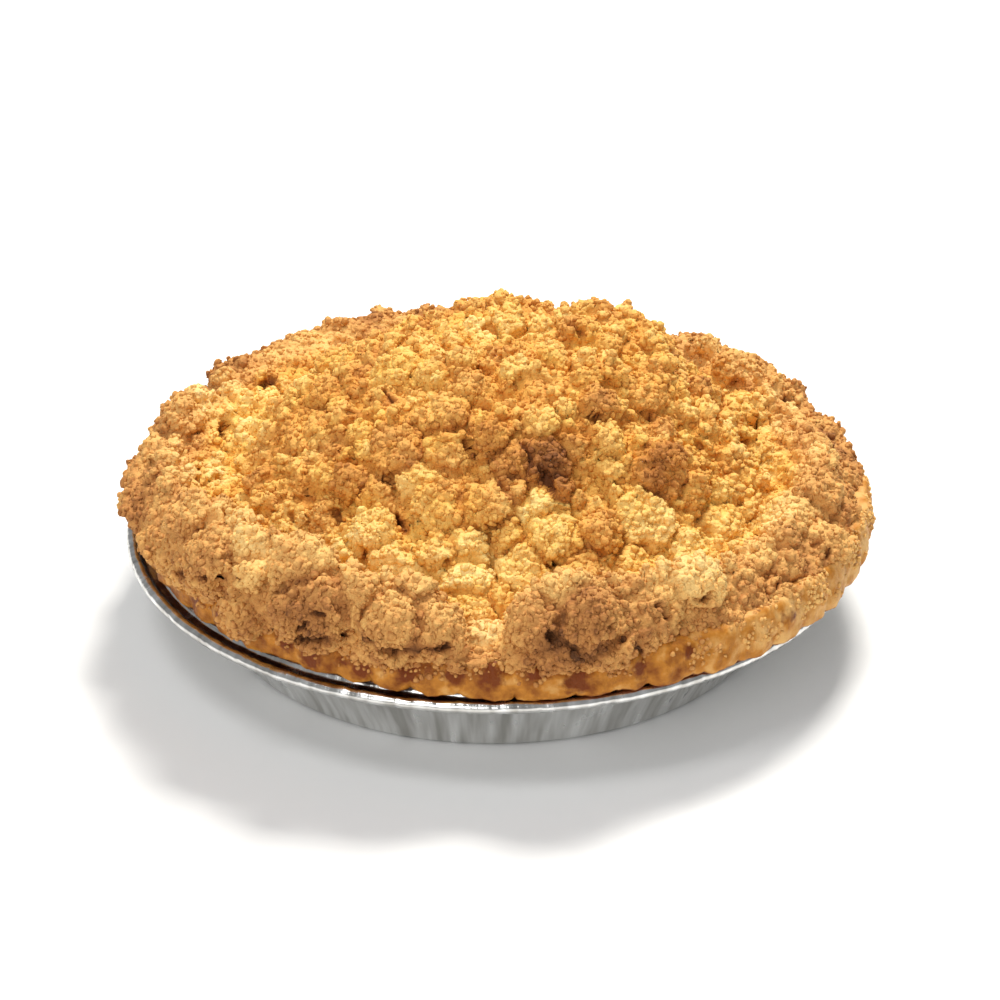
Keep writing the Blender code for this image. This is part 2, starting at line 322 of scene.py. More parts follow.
def foil_finish():
    made = bpy.data.materials.new("pressed aluminium foil")
    made.use_nodes = True
    tree = made.node_tree
    shader = tree.nodes["Principled BSDF"]
    shader.inputs["Metallic"].default_value = 1
    place = add_node(tree, "ShaderNodeTexCoord").outputs["Object"]
    flat = add_node(tree, "ShaderNodeVectorMath", {0: place, 1: (1, 1, 0)}, operation="MULTIPLY").outputs[0]
    way = add_node(tree, "ShaderNodeVectorMath", {0: flat}, operation="NORMALIZE").outputs[0]
    slow = add_node(tree, "ShaderNodeVectorMath", {0: place, "Scale": 30.0}, operation="SCALE").outputs[0]
    streaks = []
    for width in (FOLD_STREAK, DRAW_STREAK):
        lines = add_node(
            tree, "ShaderNodeVectorMath", {0: way, "Scale": tin_high.x / width}, operation="SCALE"
        ).outputs[0]
        joined = add_node(tree, "ShaderNodeVectorMath", {0: lines, 1: slow}, operation="ADD").outputs[0]
        streaks.append(
            add_node(tree, "ShaderNodeTexNoise", {"Vector": joined, "Scale": 1.0, "Detail": 2.0}).outputs[0]
        )
    marks = add_node(
        tree, "ShaderNodeTexNoise", {"Vector": place, "Scale": 1 / HANDLING_SIZE, "Detail": 4.0}
    ).outputs[0]
    rough = add_node(tree, "ShaderNodeMath", {0: streaks[0], 1: marks}, operation="ADD").outputs[0]
    spread = add_node(tree, "ShaderNodeMapRange", {0: rough, 1: 0.7, 2: 1.3, 3: 0.1, 4: 0.3}).outputs[0]
    tree.links.new(spread, shader.inputs["Roughness"])
    worn = add_node(tree, "ShaderNodeMapRange", {0: streaks[0], 1: 0.32, 2: 0.68}).outputs[0]
    tint = add_node(
        tree, "ShaderNodeMix", {"Factor": worn, 6: linear("#AEACA7"), 7: linear("#E9E9E7")}, data_type="RGBA"
    ).outputs[2]
    tree.links.new(tint, shader.inputs["Base Color"])
    dents = add_node(tree, "ShaderNodeBump", {"Strength": 0.6, "Distance": 0.4 * MM, "Height": marks}).outputs[0]
    folds = add_node(
        tree, "ShaderNodeBump", {"Strength": 0.7, "Distance": 0.6 * MM, "Height": streaks[0], "Normal": dents}
    ).outputs[0]
    bumps = add_node(
        tree, "ShaderNodeBump", {"Strength": 0.5, "Distance": 0.15 * MM, "Height": streaks[1], "Normal": folds}
    ).outputs[0]
    tree.links.new(bumps, shader.inputs["Normal"])
    return made


foil = foil_finish()
print(foil.name)

# %% [markdown]
# ## The foil tin
#
# A tin's section is one sheet: a flat base with a pressed ring, a slanting wall, a flange with a raised
# ridge, and a rim that is rolled over and under. The sheet is drawn as one line and given its thickness
# afterwards.

# %% Section of the sheet
TIN_RIM = tin_high.x
TIN_BASE = TIN_RIM - 27.8 * MM
TIN_MOUTH = TIN_RIM - 12.7 * MM
FLANGE_Z = 29.5 * MM
RIDGE = TIN_RIM - 8.9 * MM
BEAD_RADIUS = 1.7 * MM
SHEET = 0.3 * MM
SHEET_Z = SHEET / 2
BASE_RING = 62 * MM


def tin_section():
    """From the axis along the base, up the wall, over the ridge and round the rolled rim."""
    points = [
        (0, SHEET_Z), (BASE_RING - 30 * MM, SHEET_Z), (BASE_RING - 3.5 * MM, SHEET_Z),
        (BASE_RING - 1.5 * MM, SHEET_Z + 0.8 * MM), (BASE_RING + 1.5 * MM, SHEET_Z + 0.8 * MM),
        (BASE_RING + 3.5 * MM, SHEET_Z), (TIN_BASE - 8 * MM, SHEET_Z), (TIN_BASE - 1.8 * MM, SHEET_Z),
        (TIN_BASE + 0.2 * MM, 1.6 * MM),
    ]
    climb = 5
    foot = np.array((TIN_BASE + 0.9 * MM, 3.2 * MM))
    head = np.array((TIN_MOUTH - 0.5 * MM, FLANGE_Z - 2.4 * MM))
    points += [tuple(foot + (head - foot) * i / climb) for i in range(climb + 1)]
    points += [
        (TIN_MOUTH + 0.2 * MM, FLANGE_Z - 0.8 * MM), (RIDGE - 1.0 * MM, FLANGE_Z + 0.8 * MM),
        (RIDGE, FLANGE_Z + 1.5 * MM), (RIDGE + 1.0 * MM, FLANGE_Z + 0.8 * MM), (RIDGE + 1.8 * MM, FLANGE_Z - 0.5 * MM),
        (RIDGE + 3.2 * MM, FLANGE_Z - 0.7 * MM), (TIN_RIM - 4.4 * MM, FLANGE_Z - 0.7 * MM),
    ]
    middle = (TIN_RIM - BEAD_RADIUS - SHEET_Z, FLANGE_Z)
    for turn in range(180, -135, -45):
        angle = math.radians(turn)
        points.append((middle[0] + BEAD_RADIUS * math.cos(angle), middle[1] + BEAD_RADIUS * math.sin(angle)))
    return smooth_section(points, 2)


print(len(tin_section()), "section points")

# %% [markdown]
# Pleats and ticks follow the angle round the tin, so a Geometry Nodes tree makes them. Pressed foil gathers
# into folds that lean one way: a sawtooth with a slow climb and a quick drop, its spacing and depth varied
# by noise. The rolled rim has a sharp crease every couple of centimetres.

# %% Pleats and creases
def pleat_tree():
    sizes = {
        "Pleats": 84.0, "Pleat depth": 0.5 * MM, "Wall top": FLANGE_Z, "Creases": 41.0,
        "Crease depth": 0.4 * MM, "Rim start": TIN_RIM - 4 * MM, "Wrinkle": 0.9 * MM,
    }
    tree, given, result = new_tree("tin_pleats", sizes)
    place = add_node(tree, "GeometryNodeInputPosition").outputs[0]
    split = add_node(tree, "ShaderNodeSeparateXYZ", {0: place}).outputs
    angle = add_node(tree, "ShaderNodeMath", {0: split[1], 1: split[0]}, operation="ARCTAN2").outputs[0]
    turns = add_node(tree, "ShaderNodeMath", {0: angle, 1: 2 * math.pi}, operation="DIVIDE").outputs[0]
    flat = add_node(tree, "ShaderNodeVectorMath", {0: place, 1: (1, 1, 0)}, operation="MULTIPLY").outputs[0]
    outward = add_node(tree, "ShaderNodeVectorMath", {0: flat}, operation="NORMALIZE").outputs[0]
    reach = add_node(tree, "ShaderNodeVectorMath", {0: flat}, operation="LENGTH").outputs[1]
    slow = add_node(tree, "ShaderNodeTexNoise", {"Vector": place, "Scale": 45.0, "Detail": 2.0}).outputs[0]
    climb = add_node(tree, "ShaderNodeMath", {0: split[2], 1: given["Wall top"]}, operation="DIVIDE").outputs[0]
    rise = add_node(tree, "ShaderNodeMapRange", {0: climb, 1: 0.03, 2: 0.3}, interpolation_type="SMOOTHSTEP").outputs[0]
    fall = add_node(
        tree, "ShaderNodeMapRange", {0: climb, 1: 1.0, 2: 0.86}, interpolation_type="SMOOTHSTEP"
    ).outputs[0]
    wall = add_node(tree, "ShaderNodeMath", {0: rise, 1: fall}, operation="MULTIPLY").outputs[0]

    count = add_node(tree, "ShaderNodeMath", {0: turns, 1: given["Pleats"]}, operation="MULTIPLY").outputs[0]
    uneven = add_node(tree, "ShaderNodeMath", {0: slow, 1: 5.0, 2: count}, operation="MULTIPLY_ADD").outputs[0]
    tooth = add_node(tree, "ShaderNodeMath", {0: uneven}, operation="FRACT").outputs[0]
    depth = add_node(tree, "ShaderNodeMapRange", {0: slow, 1: 0.35, 2: 0.65, 3: 0.3, 4: 1.2}).outputs[0]
    fold = add_node(tree, "ShaderNodeMath", {0: tooth, 1: depth}, operation="MULTIPLY").outputs[0]
    fold = add_node(tree, "ShaderNodeMath", {0: fold, 1: given["Pleat depth"]}, operation="MULTIPLY").outputs[0]
    fold = add_node(tree, "ShaderNodeMath", {0: fold, 1: wall}, operation="MULTIPLY").outputs[0]

    spots = add_node(tree, "ShaderNodeMath", {0: turns, 1: given["Creases"]}, operation="MULTIPLY").outputs[0]
    spots = add_node(tree, "ShaderNodeMath", {0: slow, 1: 3.0, 2: spots}, operation="MULTIPLY_ADD").outputs[0]
    back = add_node(tree, "ShaderNodeMath", {0: spots, 1: 0.5}, operation="PINGPONG").outputs[0]
    sharp = add_node(tree, "ShaderNodeMapRange", {0: back, 1: 0.05, 2: 0.0}).outputs[0]
    rim = add_node(tree, "ShaderNodeMath", {0: reach, 1: given["Rim start"]}, operation="GREATER_THAN").outputs[0]
    crease = add_node(tree, "ShaderNodeMath", {0: sharp, 1: rim}, operation="MULTIPLY").outputs[0]
    crease = add_node(tree, "ShaderNodeMath", {0: crease, 1: given["Crease depth"]}, operation="MULTIPLY").outputs[0]

    inward = add_node(tree, "ShaderNodeMath", {0: fold, 1: crease}, operation="ADD").outputs[0]
    back_in = add_node(tree, "ShaderNodeMath", {0: inward, 1: -1.0}, operation="MULTIPLY").outputs[0]
    push = add_node(tree, "ShaderNodeVectorMath", {0: outward, "Scale": back_in}, operation="SCALE").outputs[0]
    fine = add_node(tree, "ShaderNodeTexNoise", {"Vector": place, "Scale": 170.0, "Detail": 4.0}).outputs[0]
    fine = add_node(tree, "ShaderNodeMath", {0: fine, 1: 0.5}, operation="SUBTRACT").outputs[0]
    flange = add_node(tree, "ShaderNodeMapRange", {0: climb, 1: 0.93, 2: 1.0}).outputs[0]
    fine = add_node(tree, "ShaderNodeMath", {0: fine, 1: flange}, operation="MULTIPLY").outputs[0]
    fine = add_node(tree, "ShaderNodeMath", {0: fine, 1: given["Wrinkle"]}, operation="MULTIPLY").outputs[0]
    lift = add_node(tree, "ShaderNodeCombineXYZ", {2: fine}).outputs[0]
    offset = add_node(tree, "ShaderNodeVectorMath", {0: push, 1: lift}, operation="ADD").outputs[0]
    moved = add_node(tree, "GeometryNodeSetPosition", {"Geometry": given["Geometry"], "Offset": offset}).outputs[0]
    tree.links.new(moved, result.inputs[0])
    return tree


# %% Make the tin
TIN_SEGMENTS = 84 * 9

tin_blank = add_piece("tin_blank", turned("tin_blank", tin_section(), TIN_SEGMENTS))
thick = tin_blank.modifiers.new("sheet thickness", "SOLIDIFY")
thick.thickness = SHEET
thick.offset = 0
foil_tin = add_piece("foil_tin_pressed", run_tree(tin_blank, pleat_tree()), foil)
bpy.data.objects.remove(tin_blank)
settle(foil_tin, "foil", "foil_tin")

# %% [markdown]
# ## Baked shortcrust
#
# The crust's edge is pale golden shortcrust: smooth, dry and faintly greasy, with a soft sheen. Where the
# crimps meet the crumbs, butter and sugar have run down and caramelised to a red brown. The mesh carries
# that as an attribute, which also holds painted shade under the lip, and the finish mixes the two colours by it.
# A second attribute varies the browning and paints the right side paler, as painted light.

# %% Crust finish
BLISTER_SIZE = 1.5 * MM
FLECK_SIZE = 5 * MM
# The first and lightest stop is reached mostly on the crust's right side, which is painted paler there as painted
# light, to lift the shade that falls on it.
CRUST_COLOURS = ((0.15, "#E2B06A"), (0.40, "#BE7C2E"), (0.68, "#7E4212"))


def crust_finish():
    made = bpy.data.materials.new("baked shortcrust")
    made.use_nodes = True
    tree = made.node_tree
    shader = tree.nodes["Principled BSDF"]
    shader.inputs["Specular IOR Level"].default_value = 0.14
    place = add_node(tree, "ShaderNodeTexCoord").outputs["Object"]
    flecks = add_node(
        tree, "ShaderNodeTexNoise", {"Vector": place, "Scale": 1 / FLECK_SIZE, "Detail": 4.0}
    ).outputs[0]
    # This attribute holds the crust's uneven browning plus painted light that makes the right side paler, where shade
    # falls.
    bake_and_painted_light = add_node(tree, "ShaderNodeAttribute", attribute_name="bake_and_painted_light").outputs["Fac"]
    heat_and_painted_light = add_node(tree, "ShaderNodeMath", {0: flecks, 1: bake_and_painted_light}, operation="ADD").outputs[0]
    ramp = add_node(tree, "ShaderNodeValToRGB", {0: heat_and_painted_light})
    stops = ramp.color_ramp.elements
    stops.new(0.15)
    for stop, (position, code) in zip(stops, CRUST_COLOURS):
        stop.position, stop.color = position, linear(code)
    # This attribute holds the caramel spots and also painted shade on the crust's underside.
    caramel_and_shade = add_node(tree, "ShaderNodeAttribute", attribute_name="caramel_and_shade").outputs["Fac"]
    ragged = add_node(
        tree, "ShaderNodeTexNoise", {"Vector": place, "Scale": 1 / (2.0 * MM), "Detail": 5.0}
    ).outputs[0]
    stain_and_shade = add_node(tree, "ShaderNodeMath", {0: ragged, 1: 1.3, 2: caramel_and_shade}, operation="MULTIPLY_ADD").outputs[0]
    stain_and_shade = add_node(tree, "ShaderNodeMapRange", {0: stain_and_shade, 1: 0.9, 2: 1.4, 4: 0.96}).outputs[0]
    # The caramel colour also paints the shade under the crust's lip.
    mixed = add_node(
        tree, "ShaderNodeMix", {"Factor": stain_and_shade, 6: ramp.outputs[0], 7: linear("#70320E")}, data_type="RGBA"
    ).outputs[2]
    tree.links.new(mixed, shader.inputs["Base Color"])
    sheen = add_node(tree, "ShaderNodeMapRange", {0: stain_and_shade, 3: 0.5, 4: 0.42}).outputs[0]
    tree.links.new(sheen, shader.inputs["Roughness"])
    blisters = add_node(
        tree, "ShaderNodeTexNoise", {"Vector": place, "Scale": 1 / BLISTER_SIZE, "Detail": 5.0}
    ).outputs[0]
    bump = add_node(tree, "ShaderNodeBump", {"Strength": 0.8, "Distance": 0.6 * MM, "Height": blisters}).outputs[0]
    tree.links.new(bump, shader.inputs["Normal"])
    return made


crust_paste = crust_finish()
print(crust_paste.name)

# %% [markdown]
# ## The crimped crust
#
# The baker presses the edge between finger and thumb, once every 13 mm or so. Each crimp is a rounded lobe,
# with a tight joint on each side, and no two are alike. The lobes repeat round the rim, so a tree makes
# them on a turned blank: it bulges each lobe outwards, lets its lower edge sag and lifts its top.

# %% Section of the crust
LIP = crust_high.x - 1.0 * MM
LIP_Z = 31.4 * MM
CRUST_TOP = 43.5 * MM
CRIMPS = 52
SLUMP_WAY = (math.cos(math.radians(332)), math.sin(math.radians(332)), 0)
TILT_WAY = (math.cos(math.radians(205)), math.sin(math.radians(205)), 0)


def crust_section():
    """From the axis under the pie, up inside the tin, round the lip and back to the axis."""
    gap = 0.9 * MM
    points = [
        (0, crust_low.z + 0.2 * MM), (TIN_BASE - 12 * MM, crust_low.z + 0.2 * MM), (TIN_BASE - gap - 2 * MM, 2.2 * MM),
        (TIN_BASE - gap, 5 * MM), (TIN_MOUTH - gap - 0.6 * MM, FLANGE_Z - 1.6 * MM),
        (TIN_MOUTH + 2 * MM, LIP_Z), (LIP - 4 * MM, LIP_Z), (LIP - 1.4 * MM, LIP_Z + 0.1 * MM),
        (LIP - 0.2 * MM, LIP_Z + 1.2 * MM), (LIP + 0.2 * MM, LIP_Z + 3.4 * MM), (LIP + 0.1 * MM, LIP_Z + 6 * MM),
        (LIP - 0.6 * MM, LIP_Z + 8.6 * MM), (LIP - 1.8 * MM, CRUST_TOP - 1.5 * MM),
        (LIP - 4.5 * MM, CRUST_TOP), (LIP - 9 * MM, CRUST_TOP - 2 * MM), (LIP - 30 * MM, CRUST_TOP - 4 * MM),
        (0, CRUST_TOP - 4 * MM),
    ]
    return smooth_section(points, 3)


# %% Crimps
def crimp_tree():
    sizes = {
        "Crimps": float(CRIMPS), "Bulge": 1.5 * MM, "Sag": 1.3 * MM, "Lift": 1.4 * MM,
        "Lip start": LIP - 5 * MM, "Lip bottom": LIP_Z, "Lip top": CRUST_TOP,
        "Shift right": 2.4 * MM, "Shift forward": 0.6 * MM, "Slump": 2.0 * MM, "Climb": 3.4 * MM, "Tilt": 2.0 * MM,
    }
    tree, given, result = new_tree("crust_crimps", sizes)
    place = add_node(tree, "GeometryNodeInputPosition").outputs[0]
    split = add_node(tree, "ShaderNodeSeparateXYZ", {0: place}).outputs
    angle = add_node(tree, "ShaderNodeMath", {0: split[1], 1: split[0]}, operation="ARCTAN2").outputs[0]
    turns = add_node(tree, "ShaderNodeMath", {0: angle, 1: 2 * math.pi}, operation="DIVIDE").outputs[0]
    flat = add_node(tree, "ShaderNodeVectorMath", {0: place, 1: (1, 1, 0)}, operation="MULTIPLY").outputs[0]
    outward = add_node(tree, "ShaderNodeVectorMath", {0: flat}, operation="NORMALIZE").outputs[0]
    reach = add_node(tree, "ShaderNodeVectorMath", {0: flat}, operation="LENGTH").outputs[1]
    wander = add_node(tree, "ShaderNodeTexNoise", {"Vector": place, "Scale": 40.0, "Detail": 1.0}).outputs[0]
    count = add_node(tree, "ShaderNodeMath", {0: turns, 1: given["Crimps"]}, operation="MULTIPLY").outputs[0]
    count = add_node(tree, "ShaderNodeMath", {0: wander, 1: 1.6, 2: count}, operation="MULTIPLY_ADD").outputs[0]
    across = add_node(tree, "ShaderNodeMath", {0: count, 1: 0.5}, operation="PINGPONG").outputs[0]
    lobe = add_node(tree, "ShaderNodeMath", {0: across, 1: 2.0}, operation="MULTIPLY").outputs[0]
    lobe = add_node(tree, "ShaderNodeMath", {0: lobe, 1: 0.45}, operation="POWER").outputs[0]
    lobe = add_node(tree, "ShaderNodeMath", {0: lobe, 1: 0.7}, operation="SUBTRACT").outputs[0]
    uneven = add_node(tree, "ShaderNodeMapRange", {0: wander, 1: 0.3, 2: 0.7, 3: 0.6, 4: 1.5}).outputs[0]
    lobe = add_node(tree, "ShaderNodeMath", {0: lobe, 1: uneven}, operation="MULTIPLY").outputs[0]
    edge = add_node(
        tree, "ShaderNodeMapRange", {0: reach, 1: given["Lip start"], 2: LIP - 1.5 * MM}, interpolation_type="SMOOTHSTEP"
    ).outputs[0]
    lobe = add_node(tree, "ShaderNodeMath", {0: lobe, 1: edge}, operation="MULTIPLY").outputs[0]
    bulge = add_node(tree, "ShaderNodeMath", {0: lobe, 1: given["Bulge"]}, operation="MULTIPLY").outputs[0]
    side = add_node(tree, "ShaderNodeVectorMath", {0: outward, 1: SLUMP_WAY}, operation="DOT_PRODUCT").outputs[1]
    side = add_node(
        tree, "ShaderNodeMapRange", {0: side, 1: 0.62, 2: 1.0}, interpolation_type="SMOOTHSTEP"
    ).outputs[0]
    side = add_node(tree, "ShaderNodeMath", {0: side, 1: edge}, operation="MULTIPLY").outputs[0]
    bulge = add_node(tree, "ShaderNodeMath", {0: side, 1: given["Slump"], 2: bulge}, operation="MULTIPLY_ADD").outputs[0]
    push = add_node(tree, "ShaderNodeVectorMath", {0: outward, "Scale": bulge}, operation="SCALE").outputs[0]
    back = add_node(tree, "ShaderNodeMath", {0: given["Shift forward"], 1: -1.0}, operation="MULTIPLY").outputs[0]
    shift = add_node(tree, "ShaderNodeCombineXYZ", {0: given["Shift right"], 1: back}).outputs[0]
    shift = add_node(tree, "ShaderNodeVectorMath", {0: shift, "Scale": edge}, operation="SCALE").outputs[0]
    push = add_node(tree, "ShaderNodeVectorMath", {0: push, 1: shift}, operation="ADD").outputs[0]
    negative = add_node(tree, "ShaderNodeMath", {0: given["Sag"], 1: -1.0}, operation="MULTIPLY").outputs[0]
    tall = add_node(
        tree, "ShaderNodeMapRange",
        {0: split[2], 1: given["Lip bottom"], 2: given["Lip top"], 3: negative, 4: given["Lift"]},
    ).outputs[0]
    rise = add_node(tree, "ShaderNodeMath", {0: lobe, 1: tall}, operation="MULTIPLY").outputs[0]
    share = add_node(
        tree, "ShaderNodeMapRange", {0: split[2], 1: given["Lip bottom"], 2: given["Lip top"], 3: -0.15, 4: 1.0}
    ).outputs[0]
    climb = add_node(tree, "ShaderNodeMath", {0: side, 1: share}, operation="MULTIPLY").outputs[0]
    rise = add_node(tree, "ShaderNodeMath", {0: climb, 1: given["Climb"], 2: rise}, operation="MULTIPLY_ADD").outputs[0]
    left = add_node(tree, "ShaderNodeVectorMath", {0: outward, 1: TILT_WAY}, operation="DOT_PRODUCT").outputs[1]
    left = add_node(
        tree, "ShaderNodeMapRange", {0: left, 1: 0.3, 2: 0.9}, interpolation_type="SMOOTHSTEP"
    ).outputs[0]
    left = add_node(tree, "ShaderNodeMath", {0: left, 1: edge}, operation="MULTIPLY").outputs[0]
    rise = add_node(tree, "ShaderNodeMath", {0: left, 1: given["Tilt"], 2: rise}, operation="MULTIPLY_ADD").outputs[0]
    lift = add_node(tree, "ShaderNodeCombineXYZ", {2: rise}).outputs[0]
    offset = add_node(tree, "ShaderNodeVectorMath", {0: push, 1: lift}, operation="ADD").outputs[0]
    moved = add_node(tree, "GeometryNodeSetPosition", {"Geometry": given["Geometry"], "Offset": offset}).outputs[0]
    facing = add_node(tree, "GeometryNodeInputNormal").outputs[0]
    lumps = add_node(tree, "ShaderNodeTexNoise", {"Vector": place, "Scale": 240.0, "Detail": 5.0}).outputs[0]
    lumps = add_node(tree, "ShaderNodeMath", {0: lumps, 1: 0.5}, operation="SUBTRACT").outputs[0]
    lumps = add_node(tree, "ShaderNodeMath", {0: lumps, 1: edge}, operation="MULTIPLY").outputs[0]
    lumps = add_node(tree, "ShaderNodeMath", {0: lumps, 1: 2.6 * MM}, operation="MULTIPLY").outputs[0]
    rough = add_node(tree, "ShaderNodeVectorMath", {0: facing, "Scale": lumps}, operation="SCALE").outputs[0]
    moved = add_node(tree, "GeometryNodeSetPosition", {"Geometry": moved, "Offset": rough}).outputs[0]
    number = add_node(tree, "ShaderNodeMath", {0: count}, operation="FLOOR").outputs[0]
    for name, value in (("across", across), ("crimp", number)):
        moved = add_node(
            tree, "GeometryNodeStoreNamedAttribute", {"Geometry": moved, "Name": name, "Value": value},
            data_type="FLOAT", domain="POINT",
        ).outputs[0]
    tree.links.new(moved, result.inputs[0])
    return tree


# %% Make the crust
CRUST_SEGMENTS = CRIMPS * 15

crust_blank = add_piece("crust_blank", turned("crust_blank", crust_section(), CRUST_SEGMENTS))
crust = add_piece("pastry_crust_crimped", run_tree(crust_blank, crimp_tree()), crust_paste)
bpy.data.objects.remove(crust_blank)

# %% [markdown]
# Caramel sits high on the crimps, strongest at the front left, where the crumbs were butteriest. The spots
# that the picture shows are given by pixel, with a radius in millimetres, and a seeded draw browns the other
# crimps. The crust's underside gets the same dark colour as painted shade, since it lies in the shadow
# between the lip and the foil.

# %% Caramel on the crimps, and painted shade under them
CARAMEL_SPOTS = (
    ((310, 658), 4.0), ((362, 670), 3.4), ((408, 672), 4.2), ((455, 675), 3.6), ((492, 676), 4.2), ((537, 672), 3.4),
    ((578, 682), 4.4), ((640, 668), 3.0), ((286, 640), 3.4), ((690, 652), 2.4), ((238, 622), 3.0),
)
CARAMEL_SEED = 4
CARAMEL_Z = LIP_Z + 8.5 * MM
rng = random.Random(CARAMEL_SEED)
strengths = [rng.uniform(0.0, 0.7) for _ in range(CRIMPS)]
points = read_points(crust.data)
facing = read_points(crust.data, "normal")
across = read_values(crust.data, "across")
crimp = read_values(crust.data, "crimp").astype(int) % CRIMPS
high = np.exp(-(((points[:, 2] - CARAMEL_Z) / (3 * MM)) ** 2))
caramel_and_shade = np.array(strengths)[crimp] * high * np.clip((across - 0.08) / 0.3, 0, 1)
skin = BVHTree.FromObject(crust, bpy.context.evaluated_depsgraph_get())
for pixel, size in CARAMEL_SPOTS:
    middle = seen_at(skin, pixel)
    if middle is not None:
        away = np.linalg.norm(points - middle, axis=1) / (size * MM)
        caramel_and_shade = np.maximum(caramel_and_shade, 1.1 * np.exp(-away ** 2))
# Painted shade: faces that look down, under the lip, are painted dark brown, because the gap over the foil is in
# shadow.
below = np.clip(-1.6 * facing[:, 2] - 0.4, 0, 1.2) * (points[:, 2] < LIP_Z + 1.5 * MM)
write_values(crust.data, "caramel_and_shade", np.maximum(caramel_and_shade, below))
# Painted light: the crust's right side is painted paler to lift the shade that falls there. The slow noise is its own
# uneven browning.
right = np.clip((points[:, 0] - 45 * MM) / (40 * MM), 0, 1)
write_values(crust.data, "bake_and_painted_light", 0.10 * slow_noise(points, 6 * MM, 15) - 0.24 * right)
settle(crust, "pastry", "pastry_crust")

# %% [markdown]
# ## Baked butter crumb
#
# The crumbs are flour, butter and sugar rubbed together and baked: dry, matt and slightly porous. Their
# colour comes mostly from the oven. What lies deep stays a creamy yellow, open faces turn golden, tops brown,
# and a few lumps scorch. One attribute runs from pale to scorched and also carries painted shade in cracks,
# creases and small hollows and painted highlight on small bumps; each crumb adds a little tone of its own,
# and the foot of each loose grain is painted darker as shade.

# %% Crumb finish
MOUND_COLOURS = (
    (0.00, "#F9E29C"), (0.22, "#F3CF7A"), (0.42, "#E9B556"), (0.60, "#D5943F"),
    (0.76, "#B87632"), (0.90, "#8A5022"), (1.00, "#623516"),
)
RING_COLOURS = (
    (0.00, "#FCE6B4"), (0.22, "#F6D28A"), (0.42, "#E9B96E"), (0.60, "#D29A56"),
    (0.76, "#B0753E"), (0.90, "#80502A"), (1.00, "#58351B"),
)
PORE_SIZE = 0.6 * MM
SAND_SIZE = 0.9 * MM
MOTTLE_SIZE = 3.5 * MM
SPECK_SIZE = 0.8 * MM
TONE_SPREAD = 0.03
# Painted shade: how much darker the foot of each loose grain is painted, where it meets the skin.
FOOT_SHADE = 0.1


def crumb_finish():
    made = bpy.data.materials.new("baked butter crumb")
    made.use_nodes = True
    tree = made.node_tree
    shader = tree.nodes["Principled BSDF"]
    shader.inputs["Roughness"].default_value = 0.75
    shader.inputs["Specular IOR Level"].default_value = 0.22
    place = add_node(tree, "ShaderNodeTexCoord").outputs["Object"]
    # This attribute is baking colour plus painted shade in cracks, creases and hollows and painted highlight on small
    # bumps.
    toast_and_painted_light = add_node(tree, "ShaderNodeAttribute", attribute_name="toast_and_painted_light").outputs["Fac"]
    tone = add_node(tree, "ShaderNodeAttribute", attribute_name="tone").outputs["Fac"]
    foot = add_node(tree, "ShaderNodeAttribute", attribute_name="foot").outputs["Fac"]
    mottle = add_node(
        tree, "ShaderNodeTexNoise", {"Vector": place, "Scale": 1 / MOTTLE_SIZE, "Detail": 5.0}
    ).outputs[0]
    patch = add_node(tree, "ShaderNodeMapRange", {0: mottle, 1: 0.3, 2: 0.7, 3: -0.06, 4: 0.06}).outputs[0]
    heat_and_painted_light = add_node(tree, "ShaderNodeMath", {0: tone, 1: TONE_SPREAD, 2: toast_and_painted_light}, operation="MULTIPLY_ADD").outputs[0]
    heat_and_painted_light = add_node(tree, "ShaderNodeMath", {0: heat_and_painted_light, 1: patch}, operation="ADD").outputs[0]
    # Painted shade: the foot of each loose grain is painted darker, where it sinks into the skin.
    heat_and_painted_light = add_node(tree, "ShaderNodeMath", {0: foot, 1: FOOT_SHADE, 2: heat_and_painted_light}, operation="MULTIPLY_ADD").outputs[0]
    speck = add_node(tree, "ShaderNodeTexNoise", {"Vector": place, "Scale": 1 / SPECK_SIZE, "Detail": 3.0}).outputs[0]
    speck = add_node(tree, "ShaderNodeMapRange", {0: speck, 1: 0.3, 2: 0.7, 3: 0.03, 4: -0.03}).outputs[0]
    heat_and_painted_light = add_node(tree, "ShaderNodeMath", {0: heat_and_painted_light, 1: speck}, operation="ADD").outputs[0]
    ramps = []
    for colours in (MOUND_COLOURS, RING_COLOURS):
        ramp = add_node(tree, "ShaderNodeValToRGB", {0: heat_and_painted_light})
        stops = ramp.color_ramp.elements
        while len(stops) < len(colours):
            stops.new(0.5)
        for stop, (position, code) in zip(stops, colours):
            stop.position, stop.color = position, linear(code)
        ramps.append(ramp.outputs[0])
    rim = add_node(tree, "ShaderNodeAttribute", attribute_name="rim").outputs["Fac"]
    tint = add_node(tree, "ShaderNodeMix", {"Factor": rim, 6: ramps[0], 7: ramps[1]}, data_type="RGBA").outputs[2]
    tree.links.new(tint, shader.inputs["Base Color"])
    sand = add_node(
        tree, "ShaderNodeTexVoronoi", {"Vector": place, "Scale": 1 / SAND_SIZE, "Smoothness": 0.3}, feature="SMOOTH_F1"
    ).outputs[0]
    sand = add_node(tree, "ShaderNodeMath", {0: 1.0, 1: sand}, operation="SUBTRACT").outputs[0]
    bump = add_node(tree, "ShaderNodeBump", {"Strength": 0.9, "Distance": 0.4 * MM, "Height": sand}).outputs[0]
    pores = add_node(tree, "ShaderNodeTexNoise", {"Vector": place, "Scale": 1 / PORE_SIZE, "Detail": 3.0}).outputs[0]
    bump = add_node(
        tree, "ShaderNodeBump", {"Strength": 0.6, "Distance": 0.16 * MM, "Height": pores, "Normal": bump}
    ).outputs[0]
    tree.links.new(bump, shader.inputs["Normal"])
    return made


crumb = crumb_finish()
print(crumb.name)

